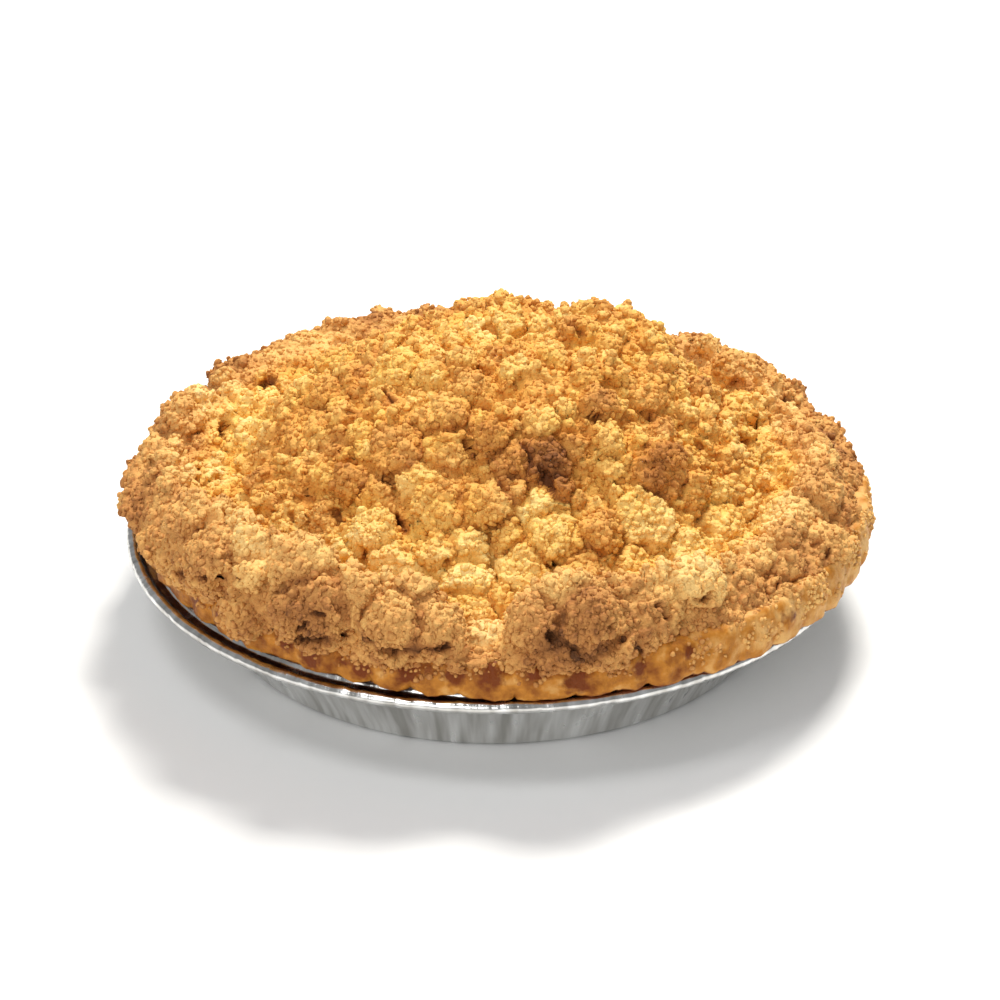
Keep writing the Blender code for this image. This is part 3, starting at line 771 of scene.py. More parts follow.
# %% [markdown]
# ## The heap's core
#
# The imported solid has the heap's true form but few faces. A copy of its mesh is merged, remeshed into even
# small faces and smoothed a little, so that the facets go and the clumps stay. The solid itself isn't
# changed.

# %% Remesh a copy of the solid
VOXEL = 0.76 * MM
SMOOTHING_ROUNDS = 10
FLOOR_Z = heap_low.z

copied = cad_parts["crumb_topping"].data.copy()
merge = bmesh.new()
merge.from_mesh(copied)
bmesh.ops.remove_doubles(merge, verts=merge.verts[:], dist=0.01 * MM)
merge.to_mesh(copied)
merge.free()
core = add_piece("crumb_heap", copied, crumb)
even = core.modifiers.new("even faces", "REMESH")
even.mode = "VOXEL"
even.voxel_size = VOXEL
ease = core.modifiers.new("ease facets", "SMOOTH")
ease.factor = 0.5
ease.iterations = SMOOTHING_ROUNDS
core.data = plain_mesh(core)
print("core", len(core.data.vertices), "points")

# %% [markdown]
# The ring of crumbs stands up more sharply than the plain solid shows, most of all at the front, where its
# crest hides part of the valley. At one place it is broken down to a notch. A slow noise swells and hollows
# the whole top, as apples below have sunk here and held there.

# %% Sharpen the ring
SWELL_SIZE, SWELL_LIFT = 15 * MM, 2.2 * MM
SETTLING = 1.0 * MM
CREST_RADIUS, CREST_LIFT = 101 * MM, 2.6 * MM
VALLEY_RADIUS, VALLEY_DROP = 87 * MM, 3.0 * MM
NOTCH_PIXEL = (475, 628)
SKYLINE = (((222, 358), -3.4, 7), ((196, 402), 3.6, 9), ((176, 408), 2.4, 8), ((385, 300), -1.2, 6))

points = read_points(core.data)
skin = BVHTree.FromObject(core, bpy.context.evaluated_depsgraph_get())
around = wavering(points, 14 * MM, 4 * MM, 6)
radius = np.hypot(around[:, 0], around[:, 1])
front = np.clip((30 * MM - points[:, 1]) / (60 * MM), 0, 1)
notch = np.exp(-(np.linalg.norm(points - seen_at(skin, NOTCH_PIXEL), axis=1) / (7 * MM)) ** 2)
crest = CREST_LIFT * np.exp(-(((radius - CREST_RADIUS) / (5.5 * MM)) ** 2)) * front * (1 - notch) - 3 * MM * notch
valley = VALLEY_DROP * np.exp(-(((radius - VALLEY_RADIUS) / (5 * MM)) ** 2))
high = np.clip((points[:, 2] - FLOOR_Z) / (8 * MM), 0, 1)
near = np.clip((50 * MM - points[:, 1]) / (30 * MM), 0.15, 1)
inner = np.clip((106 * MM - radius) / (10 * MM), 0, 1) * near
swell = SWELL_LIFT * slow_noise(points, SWELL_SIZE, 9) * inner
points[:, 2] += (crest - valley + swell - SETTLING * near) * high
for pixel, lift, size in SKYLINE:
    middle = seen_at(skin, pixel)
    if middle is None:
        print("no skin at", pixel)
    else:
        points[:, 2] += lift * MM * np.exp(-(np.linalg.norm(points - middle, axis=1) / (size * MM)) ** 2) * high
write_points(core.data, points)

# %% [markdown]
# ## Clumps
#
# Butter binds the crumbs into clumps the size of peas and hazelnuts, and the eye reads the heap by them.
# Each is a dome raised on the skin, and where two meet the higher one shows. The joint between them, where
# both are as high, is pressed in to a crease. The large ones are listed one by one, each with its radius, its height
# and how much it browned, and a seeded draw fills the rest of the heap, keeping its distance from what is already
# there.

# %% Raise the clumps
CLUMPS = (
    ((262, 482), 4.5, 2.2, 0.24), ((262, 500), 4.0, 1.4, 0.14), ((352, 482), 5.0, 2.2, 0.18),
    ((400, 452), 8.0, 2.4, 0.16), ((446, 450), 7.5, 2.0, 0.04), ((374, 492), 5.0, 1.6, 0.12),
    ((420, 474), 7.0, 1.4, -0.04), ((440, 506), 8.0, 2.4, 0.0), ((484, 508), 8.0, 2.4, 0.04),
    ((505, 536), 5.5, 1.9, 0.08), ((557, 538), 8.5, 2.6, -0.01), ((522, 570), 7.5, 2.4, 0.02),
    ((438, 550), 5.5, 2.4, 0.02), ((474, 546), 7.5, 1.6, -0.08), ((468, 577), 7.5, 1.8, -0.09),
    ((580, 565), 7.5, 1.6, 0.12), ((600, 532), 6.5, 2.0, 0.10), ((515, 462), 6.0, 2.0, 0.16),
    ((545, 462), 7.0, 2.4, 0.24), ((490, 440), 5.5, 1.8, 0.14), ((560, 488), 4.2, 2.2, 0.24),
    ((515, 490), 5.0, 1.8, 0.18), ((572, 448), 3.5, 1.8, 0.14), ((540, 514), 9.0, 1.3, -0.06),
    ((330, 525), 7.0, 1.8, 0.12), ((290, 522), 6.0, 1.4, -0.01), ((373, 532), 6.5, 2.4, -0.07),
    ((395, 565), 8.0, 1.2, -0.07), ((420, 590), 6.0, 1.4, 0.04), ((470, 607), 6.5, 1.6, 0.03),
    ((505, 596), 5.0, 1.3, 0.10), ((662, 470), 8.0, 2.3, 0.24), ((692, 490), 5.0, 1.6, 0.12),
    ((645, 520), 9.0, 1.8, -0.07), ((640, 565), 6.0, 1.5, 0.04), ((690, 552), 7.0, 1.5, 0.0),
    ((765, 465), 8.0, 1.2, -0.02), ((780, 518), 8.0, 1.6, -0.06), ((700, 580), 7.5, 2.4, -0.03),
    ((728, 525), 7.0, 1.4, -0.02), ((760, 550), 6.0, 1.3, 0.0), ((788, 562), 5.0, 1.7, 0.08),
    ((832, 540), 7.0, 1.7, 0.0), ((820, 490), 7.0, 1.6, 0.06), ((785, 592), 5.0, 1.5, 0.04),
    ((430, 372), 6.0, 1.7, 0.06), ((395, 367), 7.0, 2.2, -0.01), ((325, 397), 6.0, 1.9, 0.10),
    ((305, 430), 9.0, 1.6, 0.14), ((475, 385), 6.0, 1.6, 0.10), ((440, 415), 8.0, 1.6, 0.12),
    ((600, 402), 5.0, 2.2, 0.14), ((645, 393), 6.0, 2.0, 0.10), ((580, 327), 6.0, 1.8, 0.08),
    ((665, 430), 4.0, 1.6, 0.16), ((740, 362), 8.0, 1.8, 0.10), ((745, 412), 7.0, 2.0, 0.0),
    ((185, 412), 6.0, 1.7, 0.06), ((210, 556), 9.0, 2.8, 0.08), ((245, 545), 6.0, 1.7, -0.04),
    ((247, 571), 5.5, 1.5, -0.02), ((300, 566), 9.0, 3.2, 0.08), ((310, 608), 11.0, 3.0, 0.10),
    ((350, 595), 8.0, 1.9, 0.08), ((395, 625), 9.0, 2.8, 0.06), ((432, 628), 9.0, 2.4, 0.06),
    ((185, 513), 7.0, 1.7, 0.06), ((240, 622), 6.0, 3.0, 0.12), ((562, 592), 8.0, 2.1, -0.03),
    ((540, 622), 8.0, 2.4, 0.10), ((590, 624), 10.0, 2.6, 0.08), ((604, 650), 8.0, 1.8, 0.10),
    ((562, 652), 7.0, 1.8, 0.08), ((709, 346), 3.0, 4.0, 0.10), ((332, 322), 4.0, 2.0, 0.14),
)
CLUMP_SEED = 21
CLUMP_SPREAD = 1.2
CLUMP_RISE = 1.6
CLUMP_TRIES = 14000
CLUMP_RADIUS = (2.0 * MM, 6.0 * MM)
CLUMP_STEEPNESS = 0.6
CLUMP_CROWDING = 0.8
CLUMP_WAVER = (6 * MM, 1.6 * MM)
CREASE_WIDTH = 0.9 * MM
CREASE_DEPTH = 1.8 * MM


def draw_clumps(points, placed):
    """Adds clumps at random points of the skin, clear of the ones already placed."""
    rng = random.Random(CLUMP_SEED)
    clumps = list(placed)
    middles = np.array([clump[0] for clump in clumps])
    reaches = np.array([clump[1] for clump in clumps])
    for _ in range(CLUMP_TRIES):
        middle = points[rng.randrange(len(points))]
        radius = CLUMP_RADIUS[0] + (CLUMP_RADIUS[1] - CLUMP_RADIUS[0]) * rng.random() ** 1.6
        skyline = middle[1] > 55 * MM or math.hypot(middle[0], middle[1]) > 106 * MM
        height = radius * rng.uniform(0.34, 0.56) * (0.25 if skyline else 1)
        tone = rng.gauss(0, 0.06)
        if middle[2] < FLOOR_Z + 4 * MM:
            continue
        apart = np.linalg.norm(middles - middle, axis=1)
        if np.all(apart > CLUMP_CROWDING * (radius + reaches)):
            clumps.append((middle, radius, height, tone))
            middles = np.vstack([middles, middle])
            reaches = np.append(reaches, radius)
    return clumps


skin = BVHTree.FromObject(core, bpy.context.evaluated_depsgraph_get())
placed = []
for pixel, radius, height, tone in CLUMPS:
    middle = seen_at(skin, pixel)
    if middle is not None:
        rise = CLUMP_RISE * (0.5 if middle[1] > 55 * MM else 1)
        placed.append((middle, CLUMP_SPREAD * radius * MM, rise * height * MM, tone))
points = read_points(core.data)
clumps = draw_clumps(points, placed)
wavered = wavering(points, *CLUMP_WAVER, CLUMP_SEED)
lift = np.zeros(len(points))
second = np.zeros(len(points))
clump_tone = np.zeros(len(points))
for middle, radius, height, tone in clumps:
    near = np.flatnonzero(np.all(np.abs(wavered - middle) < radius, axis=1))
    away = np.linalg.norm(wavered[near] - middle, axis=1) / radius
    dome = height * np.clip(1 - away ** 2, 0, 1) ** CLUMP_STEEPNESS
    under = lift[near]
    clump_tone[near] = np.where(dome > under, tone * np.clip(dome / height * 2.5, 0, 1), clump_tone[near])
    second[near] = np.maximum(second[near], np.minimum(under, dome))
    lift[near] = np.maximum(under, dome)
apart = lift - second
crease = np.exp(-((apart / CREASE_WIDTH) ** 2))
lift -= CREASE_DEPTH * crease
lift *= np.clip((points[:, 2] - FLOOR_Z) / (4 * MM), 0, 1)
write_points(core.data, points + read_points(core.data, "normal") * lift[:, None])
write_values(core.data, "clump_tone", clump_tone)
write_values(core.data, "crease", crease)
write_values(core.data, "joint", np.exp(-((apart / (1.6 * CREASE_WIDTH)) ** 2)))
print(len(placed), "clumps placed of", len(clumps))

# %% [markdown]
# Finer relief is packed round things, nubs and then grains on the nubs. Voronoi cells are the natural
# pattern for that, because packed round things meet in creases. The tree pushes the skin out along its own
# normal twice, in cells of two sizes, and the second round works on the first one's shape, so that grains
# grow sideways out of nubs as they do on a real crumb.

# %% Relief tree
def relief_tree():
    sizes = {
        "Floor": FLOOR_Z, "Nub size": 3.8 * MM, "Nub height": 1.0 * MM,
        "Grain size": 2.2 * MM, "Grain height": 0.75 * MM, "Bend": 2.0 * MM,
    }
    tree, given, result = new_tree("crumb_relief", sizes)
    shape = given["Geometry"]
    for kind, softness in (("Nub", 0.15), ("Grain", 0.08)):
        place = add_node(tree, "GeometryNodeInputPosition").outputs[0]
        facing = add_node(tree, "GeometryNodeInputNormal").outputs[0]
        height = add_node(tree, "ShaderNodeSeparateXYZ", {0: place}).outputs[2]
        over = add_node(tree, "ShaderNodeMath", {0: height, 1: given["Floor"]}, operation="SUBTRACT").outputs[0]
        skin = add_node(
            tree, "ShaderNodeMapRange", {0: over, 1: 0.6 * MM, 2: 3 * MM}, interpolation_type="SMOOTHSTEP"
        ).outputs[0]
        drift = add_node(tree, "ShaderNodeTexNoise", {"Vector": place, "Scale": 150.0, "Detail": 1.0}).outputs[1]
        drift = add_node(tree, "ShaderNodeVectorMath", {0: drift, "Scale": given["Bend"]}, operation="SCALE").outputs[0]
        bent = add_node(tree, "ShaderNodeVectorMath", {0: place, 1: drift}, operation="ADD").outputs[0]
        scale = add_node(tree, "ShaderNodeMath", {0: 1.0, 1: given[kind + " size"]}, operation="DIVIDE").outputs[0]
        cells = add_node(
            tree, "ShaderNodeTexVoronoi", {"Vector": bent, "Scale": scale, "Smoothness": softness}, feature="SMOOTH_F1"
        ).outputs[0]
        dome = add_node(tree, "ShaderNodeMath", {0: cells, 1: cells}, operation="MULTIPLY").outputs[0]
        dome = add_node(tree, "ShaderNodeMath", {0: dome, 1: -2.2, 2: 0.5}, operation="MULTIPLY_ADD").outputs[0]
        dome = add_node(tree, "ShaderNodeMath", {0: dome, 1: given[kind + " height"]}, operation="MULTIPLY").outputs[0]
        dome = add_node(tree, "ShaderNodeMath", {0: dome, 1: skin}, operation="MULTIPLY").outputs[0]
        push = add_node(tree, "ShaderNodeVectorMath", {0: facing, "Scale": dome}, operation="SCALE").outputs[0]
        shape = add_node(tree, "GeometryNodeSetPosition", {"Geometry": shape, "Offset": push}).outputs[0]
    tree.links.new(shape, result.inputs[0])
    return tree


core.data = run_tree(core, relief_tree())

# %% [markdown]
# ## Cracks
#
# Baking opens cracks between the clumps, and a few are deep and dark. Each is a short line of pixels, with
# its half-width and depth in millimetres. The longest is the shadow line under the big clumps at the front
# left, which overhang the crust.

# %% Press the cracks in
CRACKS = (
    (((401, 518), (404, 527)), 1.3, 6.0), (((402, 543), (409, 547)), 1.1, 5.0), (((419, 519), (427, 535)), 0.8, 4.0),
    (((450, 562), (447, 569), (443, 574)), 1.0, 5.5), (((441, 576), (439, 598)), 0.7, 3.0),
    (((350, 403), (349, 411), (356, 409)), 0.9, 4.0), (((388, 389), (391, 397)), 1.2, 4.5),
    (((264, 387), (272, 380)), 1.8, 2.5), (((224, 425), (222, 445), (206, 455), (202, 470), (200, 481)), 1.3, 3.5),
    (((336, 512), (340, 521)), 1.4, 4.0), (((305, 491), (309, 495)), 2.2, 2.0), (((290, 514), (292, 520)), 0.9, 3.0),
    (((466, 441), (474, 455)), 1.3, 3.0), (((380, 477), (393, 481)), 1.7, 2.8), (((540, 468), (548, 476)), 1.0, 3.0),
    (((544, 480), (552, 488)), 1.0, 3.0), (((360, 547), (366, 560)), 0.8, 3.0), (((486, 528), (495, 527)), 0.8, 3.0),
    (((551, 565), (555, 570)), 0.9, 3.5), (((699, 445), (702, 448)), 1.1, 3.0), (((692, 453), (696, 455)), 0.9, 2.5),
    (((625, 413), (631, 422)), 1.3, 3.5), (((644, 412), (650, 418)), 0.9, 3.0), (((752, 419), (757, 423)), 1.3, 3.0),
    (((744, 443), (748, 450)), 0.9, 2.5), (((688, 603), (704, 602), (712, 596)), 1.0, 4.5),
    (((659, 604), (665, 610), (669, 616)), 0.9, 5.5), (((776, 587), (781, 579), (788, 581)), 0.9, 3.5),
    (((819, 584), (820, 594)), 1.1, 3.5), (((829, 549), (828, 556)), 1.0, 3.0), (((815, 544), (820, 541)), 0.9, 2.5),
    (((836, 572), (841, 564)), 0.9, 2.5), (((785, 397), (793, 400)), 1.4, 2.8), (((735, 383), (746, 387)), 2.0, 2.0),
    (((150, 462), (155, 476)), 1.3, 2.4), (((185, 558), (191, 568)), 0.8, 2.4), (((299, 630), (305, 625)), 0.8, 3.5),
    (((313, 613), (322, 616)), 0.8, 2.8), (((551, 632), (554, 638)), 1.1, 4.0), (((570, 322), (582, 334)), 1.2, 2.6),
    (((487, 329), (496, 332)), 1.6, 2.0), (((590, 416), (598, 419)), 1.3, 3.0), (((622, 640), (640, 652)), 0.8, 2.2),
    (((178, 574), (200, 579), (222, 579), (238, 577)), 1.2, 2.6), (((222, 580), (223, 604)), 0.9, 2.2),
    (((275, 632), (283, 640), (302, 641), (322, 641), (346, 637), (361, 637), (369, 644), (385, 651), (402, 654),
      (429, 651), (448, 648)), 1.3, 3.6),
)


def near_line(points, start, end):
    """How far each point is from a short line."""
    way = end - start
    share = np.clip((points - start) @ way / max(way @ way, 1e-12), 0, 1)
    return np.linalg.norm(points - start - share[:, None] * way, axis=1)


skin = BVHTree.FromObject(core, bpy.context.evaluated_depsgraph_get())
points = read_points(core.data)
normals = read_points(core.data, "normal")
wavered = wavering(points, 2.5 * MM, 0.5 * MM, 5)
opened = np.zeros(len(points))
for pixels, half_width, depth in CRACKS:
    line = [place for place in (seen_at(skin, pixel) for pixel in pixels) if place is not None]
    for start, end in zip(line, line[1:]):
        gap = near_line(wavered, start, end) / (half_width * MM)
        opened = np.maximum(opened, depth * MM * np.exp(-gap ** 2))
write_points(core.data, points - normals * opened[:, None])
write_values(core.data, "opened", opened)
print(len(CRACKS), "cracks, the deepest", round(opened.max() / MM, 1), "mm")

# %% [markdown]
# ## Toast and painted shade
#
# What stands out browns first. The array of points is compared with a smoothed copy of itself, and what is
# proud of it at the scale of clumps is browner; at the scale of grains, bumps are painted paler as painted
# highlight and hollows darker as painted shade. A slow noise makes whole patches paler or darker, the ring's
# outer face is painted browner as shade than the valley inside it, each clump has its own tone, and a few
# places have a scorched or a pale patch: some pale patches are painted highlights, and dark ones low on the
# ring's front are partly painted shade. Cracks and creases are painted darker as shade.

# %% Measure what stands proud
def smoothed(points, edges, rounds):
    """Each point moved to the middle of its neighbours, again and again."""
    count = len(points)
    ends = np.concatenate([edges[:, 0], edges[:, 1]])
    others = np.concatenate([edges[:, 1], edges[:, 0]])
    total = np.maximum(np.bincount(ends, minlength=count), 1)
    for _ in range(rounds):
        points = np.stack([np.bincount(ends, points[others, k], count) / total for k in range(3)], 1)
    return points


points = read_points(core.data)
normals = read_points(core.data, "normal")
edges = np.zeros(len(core.data.edges) * 2, np.int32)
core.data.edges.foreach_get("vertices", edges)
edges = edges.reshape(-1, 2)
proud_near = np.sum((points - smoothed(points, edges, 10)) * normals, 1)
proud_far = np.sum((points - smoothed(points, edges, 70)) * normals, 1)
print("proud", round(proud_near.std() / MM, 2), round(proud_far.std() / MM, 2), "mm")

# %% Toast and painted shade on the skin
# Dark spots: most are scorched clumps, but those low on the ring's front, over the crust, are partly painted shade.
SCORCHED_AND_SHADED = (
    ((545, 462), 0.16, 8), ((552, 480), 0.10, 5), ((660, 472), 0.16, 6), ((156, 470), 0.14, 6), ((130, 480), 0.06, 6),
    ((130, 510), 0.06, 8), ((270, 385), 0.16, 3), ((362, 357), 0.10, 6), ((570, 325), 0.08, 5), ((305, 612), 0.27, 9),
    ((588, 628), 0.18, 11), ((600, 400), 0.08, 6), ((500, 440), 0.08, 12), ((350, 455), 0.06, 14), ((250, 625), 0.06, 7),
    ((830, 555), 0.04, 9), ((772, 470), 0.06, 10), ((205, 565), 0.14, 8), ((395, 640), 0.10, 9), ((560, 660), 0.12, 10), ((460, 660), 0.10, 10),
)
# Pale spots: most are paler crumbs, but those on the ring's crest, front and back, and on the tops of the front-left
# slabs are painted highlights.
PALE_AND_HIGHLIGHT_SPOTS = (
    ((765, 465), 0.03, 9), ((780, 515), 0.05, 10), ((470, 577), 0.06, 9), ((476, 546), 0.05, 8), ((645, 520), 0.05, 10),
    ((700, 575), 0.06, 10), ((480, 635), 0.14, 7), ((205, 398), 0.16, 7), ((285, 350), 0.14, 8), ((330, 350), 0.10, 8),
    ((600, 350), 0.12, 8), ((720, 350), 0.10, 8), ((310, 545), 0.18, 7), ((340, 548), 0.14, 6), ((262, 550), 0.14, 7), ((225, 560), 0.07, 12), ((425, 615), 0.08, 9), ((400, 648), 0.05, 10),
    ((415, 530), 0.16, 7), ((540, 512), 0.12, 8), ((240, 405), 0.16, 12), ((255, 430), 0.14, 12), ((210, 470), 0.10, 6), ((720, 440), 0.02, 9),
    ((250, 505), 0.10, 8), ((660, 580), 0.12, 8), ((620, 440), 0.08, 10), ((470, 320), 0.10, 12), ((540, 325), 0.06, 14),
    ((690, 530), 0.05, 14), ((750, 378), 0.06, 15), ((262, 415), 0.05, 12),
)
BASE_TOAST = 0.37


skin = BVHTree.FromObject(core, bpy.context.evaluated_depsgraph_get())
radius = np.hypot(points[:, 0], points[:, 1])
toast_and_painted_light = BASE_TOAST + 0.10 * slow_noise(points, 24 * MM, 3) + 0.08 * slow_noise(points, 8 * MM, 8)
# Painted shade and highlight: small hollows are painted darker and small bumps paler, as light falls on them.
toast_and_painted_light -= np.clip(proud_near / (0.9 * MM), -1.5, 0.8) * 0.04
toast_and_painted_light += np.clip(proud_far / (2.2 * MM), -1.5, 1.5) * 0.07
clump_tone = read_values(core.data, "clump_tone")
toast_and_painted_light += np.where(clump_tone > 0, 1.25, 0.6) * clump_tone
# Painted shade: the ring's steep outer face is painted browner, since it gets less of the overhead light.
outer_face = np.clip((radius - 100 * MM) / (10 * MM), 0, 1)
toast_and_painted_light += 0.06 * outer_face
toast_and_painted_light -= 0.08 * np.exp(-(((radius - 84 * MM) / (9 * MM)) ** 2))
for places, side in ((SCORCHED_AND_SHADED, 1), (PALE_AND_HIGHLIGHT_SPOTS, -1)):
    for pixel, amount, size in places:
        middle = seen_at(skin, pixel)
        if middle is not None:
            away = np.linalg.norm(points - middle, axis=1) / (size * MM)
            toast_and_painted_light += side * amount * np.exp(-away ** 2)
# Painted shade: cracks and the creases between clumps are painted darker, as shade falls in them.
toast_and_painted_light += 0.4 * np.clip(read_values(core.data, "opened") / (3 * MM), 0, 1) + 0.2 * read_values(core.data, "crease")
toast_and_painted_light = np.clip(toast_and_painted_light, 0.02, 0.98)
write_values(core.data, "toast_and_painted_light", toast_and_painted_light)
tan = np.clip((radius - 90 * MM) / (8 * MM), 0, 1) + 0.4 * slow_noise(points, 11 * MM, 13)
write_values(core.data, "rim", np.clip(tan + 0.25 + 0.2 * proud_far / (2.2 * MM), 0, 1))
print("toast_and_painted_light", round(toast_and_painted_light.min(), 2), round(toast_and_painted_light.mean(), 2), round(toast_and_painted_light.max(), 2))

# %% [markdown]
# ## Loose crumbs
#
# What gives the heap away as crumbs is that its skin is made of separate rounded grains. A tree scatters
# them: points on the skin that keep a least distance from each other, a small sphere at each, turned to the
# skin and half sunk in it, and, once they are real mesh, a noise that makes every grain its own shape. Grains of
# three sizes go on: nubs the size of a lentil, grains the size of coarse sand, and fines between them.

# %% Where crumbs can lie
open_skin = np.clip((points[:, 2] - FLOOR_Z - 1.2 * MM) / (1.5 * MM), 0, 1)
cracked = np.clip(read_values(core.data, "opened") / (1.2 * MM) - 0.5, 0, 1)
cover = open_skin * (1 - cracked) * (1 - 0.4 * read_values(core.data, "joint"))
write_values(core.data, "cover", cover)


# %% Scatter tree
def scatter_tree():
    sizes = {
        "Spacing": 2.0 * MM, "Smallest": 0.8 * MM, "Largest": 1.2 * MM, "Sink": 0.5, "Flatness": 0.85,
        "Unevenness": 0.3, "Sides": 6, "Rings": 4, "Seed": 1, "Finish": crumb,
    }
    tree, given, result = new_tree("crumb_scatter", sizes)
    cover = add_node(tree, "GeometryNodeInputNamedAttribute", {"Name": "cover"}, data_type="FLOAT").outputs[0]
    spread = add_node(
        tree, "GeometryNodeDistributePointsOnFaces",
        {"Mesh": given["Geometry"], "Distance Min": given["Spacing"], "Density Max": 900000.0,
         "Density Factor": cover, "Seed": given["Seed"]},
        distribute_method="POISSON",
    ).outputs
    ball = add_node(
        tree, "GeometryNodeMeshUVSphere", {"Segments": given["Sides"], "Rings": given["Rings"], "Radius": 1.0}
    ).outputs[0]
    ball_place = add_node(tree, "GeometryNodeInputPosition").outputs[0]
    up = add_node(tree, "ShaderNodeSeparateXYZ", {0: ball_place}).outputs[2]
    # Painted shade: each grain stores how near a point is to its sunk foot, which the finish paints darker.
    foot = add_node(tree, "ShaderNodeMapRange", {0: up, 1: 0.95, 2: 0.4}).outputs[0]
    ball = add_node(
        tree, "GeometryNodeStoreNamedAttribute", {"Geometry": ball, "Name": "foot", "Value": foot},
        data_type="FLOAT", domain="POINT",
    ).outputs[0]
    size = add_node(
        tree, "FunctionNodeRandomValue", {2: given["Smallest"], 3: given["Largest"], "Seed": given["Seed"]},
        data_type="FLOAT",
    ).outputs[1]
    stretch = add_node(
        tree, "FunctionNodeRandomValue", {0: (0.85, 0.85, 0.85), 1: (1.2, 1.2, 1.05), "Seed": 7},
        data_type="FLOAT_VECTOR",
    ).outputs[0]
    flat = add_node(tree, "ShaderNodeCombineXYZ", {0: 1.0, 1: 1.0, 2: given["Flatness"]}).outputs[0]
    stretch = add_node(tree, "ShaderNodeVectorMath", {0: stretch, 1: flat}, operation="MULTIPLY").outputs[0]
    scale = add_node(tree, "ShaderNodeVectorMath", {0: stretch, "Scale": size}, operation="SCALE").outputs[0]
    spin = add_node(tree, "FunctionNodeRandomValue", {2: 0.0, 3: 2 * math.pi, "Seed": 3}, data_type="FLOAT").outputs[1]
    twist = add_node(tree, "ShaderNodeCombineXYZ", {2: spin}).outputs[0]
    turn = add_node(tree, "FunctionNodeEulerToRotation", {0: twist}).outputs[0]
    turn = add_node(tree, "FunctionNodeRotateRotation", {0: spread["Rotation"], 1: turn}, rotation_space="LOCAL").outputs[0]
    grains = add_node(
        tree, "GeometryNodeInstanceOnPoints",
        {"Points": spread["Points"], "Instance": ball, "Rotation": turn, "Scale": scale},
    ).outputs[0]
    drop = add_node(tree, "ShaderNodeMath", {0: given["Sink"], 1: -1.0}, operation="MULTIPLY").outputs[0]
    drop = add_node(tree, "ShaderNodeMath", {0: drop, 1: size}, operation="MULTIPLY").outputs[0]
    sunk = add_node(tree, "ShaderNodeCombineXYZ", {2: drop}).outputs[0]
    grains = add_node(
        tree, "GeometryNodeTranslateInstances", {"Instances": grains, "Translation": sunk, "Local Space": True}
    ).outputs[0]
    tone = add_node(tree, "FunctionNodeRandomValue", {2: -1.0, 3: 1.0, "Seed": 11}, data_type="FLOAT").outputs[1]
    grains = add_node(
        tree, "GeometryNodeStoreNamedAttribute", {"Geometry": grains, "Name": "tone", "Value": tone},
        data_type="FLOAT", domain="INSTANCE",
    ).outputs[0]
    mesh = add_node(tree, "GeometryNodeRealizeInstances", {"Geometry": grains}).outputs[0]
    place = add_node(tree, "GeometryNodeInputPosition").outputs[0]
    bend = add_node(tree, "ShaderNodeTexNoise", {"Vector": place, "Scale": 700.0, "Detail": 1.0}).outputs[1]
    bend = add_node(tree, "ShaderNodeVectorMath", {0: bend, 1: (0.5, 0.5, 0.5)}, operation="SUBTRACT").outputs[0]
    amount = add_node(
        tree, "ShaderNodeMath", {0: given["Largest"], 1: given["Unevenness"]}, operation="MULTIPLY"
    ).outputs[0]
    amount = add_node(tree, "ShaderNodeMath", {0: amount, 1: 4.0}, operation="MULTIPLY").outputs[0]
    bend = add_node(tree, "ShaderNodeVectorMath", {0: bend, "Scale": amount}, operation="SCALE").outputs[0]
    mesh = add_node(tree, "GeometryNodeSetPosition", {"Geometry": mesh, "Offset": bend}).outputs[0]
    mesh = add_node(tree, "GeometryNodeSetMaterial", {"Geometry": mesh, "Material": given["Finish"]}).outputs[0]
    tree.links.new(mesh, result.inputs[0])
    return tree


# %% Scatter the crumbs
CRUMB_KINDS = {
    "crumb_nubs": {"Spacing": 5.2 * MM, "Smallest": 1.1 * MM, "Largest": 1.6 * MM, "Sink": 0.7, "Sides": 8, "Rings": 5, "Seed": 5},
    "crumb_grains": {"Spacing": 2.45 * MM, "Smallest": 0.8 * MM, "Largest": 1.15 * MM, "Sink": 0.68, "Sides": 5, "Rings": 4, "Seed": 2},
    "crumb_fines": {"Spacing": 2.45 * MM, "Smallest": 0.6 * MM, "Largest": 0.9 * MM, "Sink": 0.6, "Sides": 5, "Rings": 4, "Seed": 9},
    "crumb_dust": {"Spacing": 2.2 * MM, "Smallest": 0.42 * MM, "Largest": 0.62 * MM, "Sink": 0.5, "Sides": 5, "Rings": 3, "Seed": 6},
}

scatter = scatter_tree()
for name, values in CRUMB_KINDS.items():
    grains = add_piece(name, run_tree(core, scatter, values))
    settle(grains, "crumb", "crumb_topping")

# %% [markdown]
# Crumbs that rolled off the heap stuck to the soft crust before it baked. The same tree scatters them over
# the top of the crimps, in patches.

# %% Crumbs on the crust
crust_points = read_points(crust.data)
reach = np.hypot(crust_points[:, 0], crust_points[:, 1])
patches = np.clip(0.5 + 2.5 * slow_noise(crust_points, 7 * MM, 2), 0, 1)
bare = 6 * MM - 2.5 * MM * np.clip(crust_points[:, 0] / (60 * MM), 0, 1)
high = np.clip((crust_points[:, 2] - LIP_Z - bare) / (3 * MM), 0, 1)
write_values(crust.data, "cover", patches * high * (reach > LIP - 8 * MM))
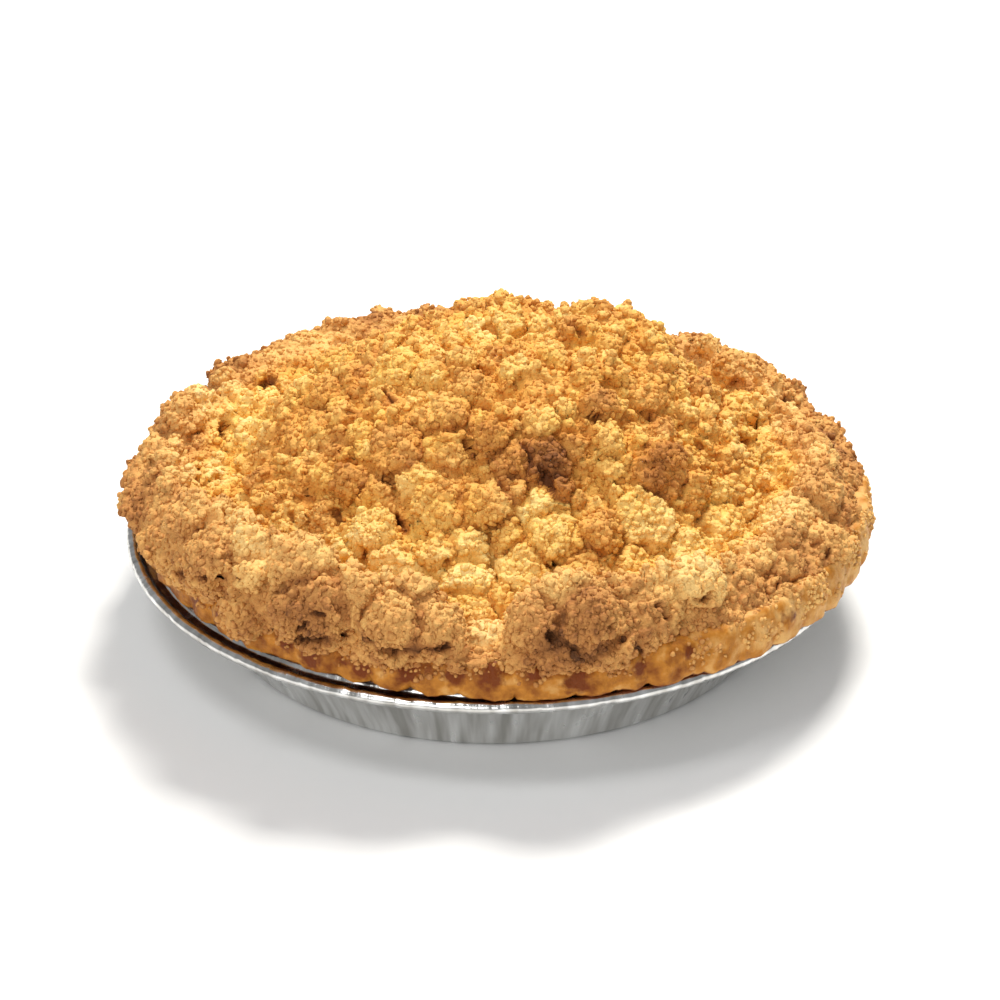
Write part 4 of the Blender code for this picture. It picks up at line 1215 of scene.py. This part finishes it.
# Painted light: the crumbs on the crust's right side are painted paler with it; the slow noise is their own tone.
write_values(crust.data, "toast_and_painted_light", 0.66 - 0.22 * right + 0.15 * slow_noise(crust_points, 4 * MM, 5))
write_values(crust.data, "rim", np.ones(len(crust_points)))
CRUST_CRUMBS = {"Spacing": 1.2 * MM, "Smallest": 0.4 * MM, "Largest": 1.0 * MM, "Sink": 0.6, "Sides": 6, "Rings": 4, "Seed": 8}
stuck = add_piece("crumbs_on_crust", run_tree(crust, scatter, CRUST_CRUMBS))
settle(stuck, "crumb", "pastry_crust")

# %% [markdown]
# ## Mound and ring
#
# The heap's skin is too fine for one mesh, so it is parted along the valley into the mound and the ring
# round it. Each part is closed: its cut edge drops to the crust as a wall, and a plain floor joins the
# edges there.

# %% Part the heap
PARTING = 88 * MM


def part_of_heap(name, inside):
    """The heap's faces inside or outside the parting circle, closed below."""
    bm = bmesh.new()
    bm.from_mesh(core.data)
    gone = []
    for face in bm.faces:
        middle = face.calc_center_median()
        under = face.normal.z < -0.9 and middle.z < FLOOR_Z + 0.3 * MM
        if under or (math.hypot(middle.x, middle.y) < PARTING) != inside:
            gone.append(face)
    bmesh.ops.delete(bm, geom=gone, context="FACES")
    brink = [e for e in bm.edges if e.is_boundary and max(v.co.z for v in e.verts) > FLOOR_Z + 2 * MM]
    for edge in brink:
        edge.smooth = False
    wall = bmesh.ops.extrude_edge_only(bm, edges=brink)["geom"]
    for vert in wall:
        if isinstance(vert, bmesh.types.BMVert):
            vert.co.z = FLOOR_Z
    fan = bmesh.ops.extrude_edge_only(bm, edges=[e for e in bm.edges if e.is_boundary])["geom"]
    tips = [vert for vert in fan if isinstance(vert, bmesh.types.BMVert)]
    bmesh.ops.pointmerge(bm, verts=tips, merge_co=(0, 0, FLOOR_Z))
    bmesh.ops.recalc_face_normals(bm, faces=bm.faces[:])
    print(name, sum(e.is_boundary for e in bm.edges), "open edges")
    mesh = bpy.data.meshes.new(name)
    bm.to_mesh(mesh)
    bm.free()
    return mesh


for name, inside in (("crumb_mound", True), ("crumb_ring", False)):
    part = add_piece(name, part_of_heap(name, inside), crumb)
    settle(part, "crumb", "crumb_topping")
bpy.data.objects.remove(core)
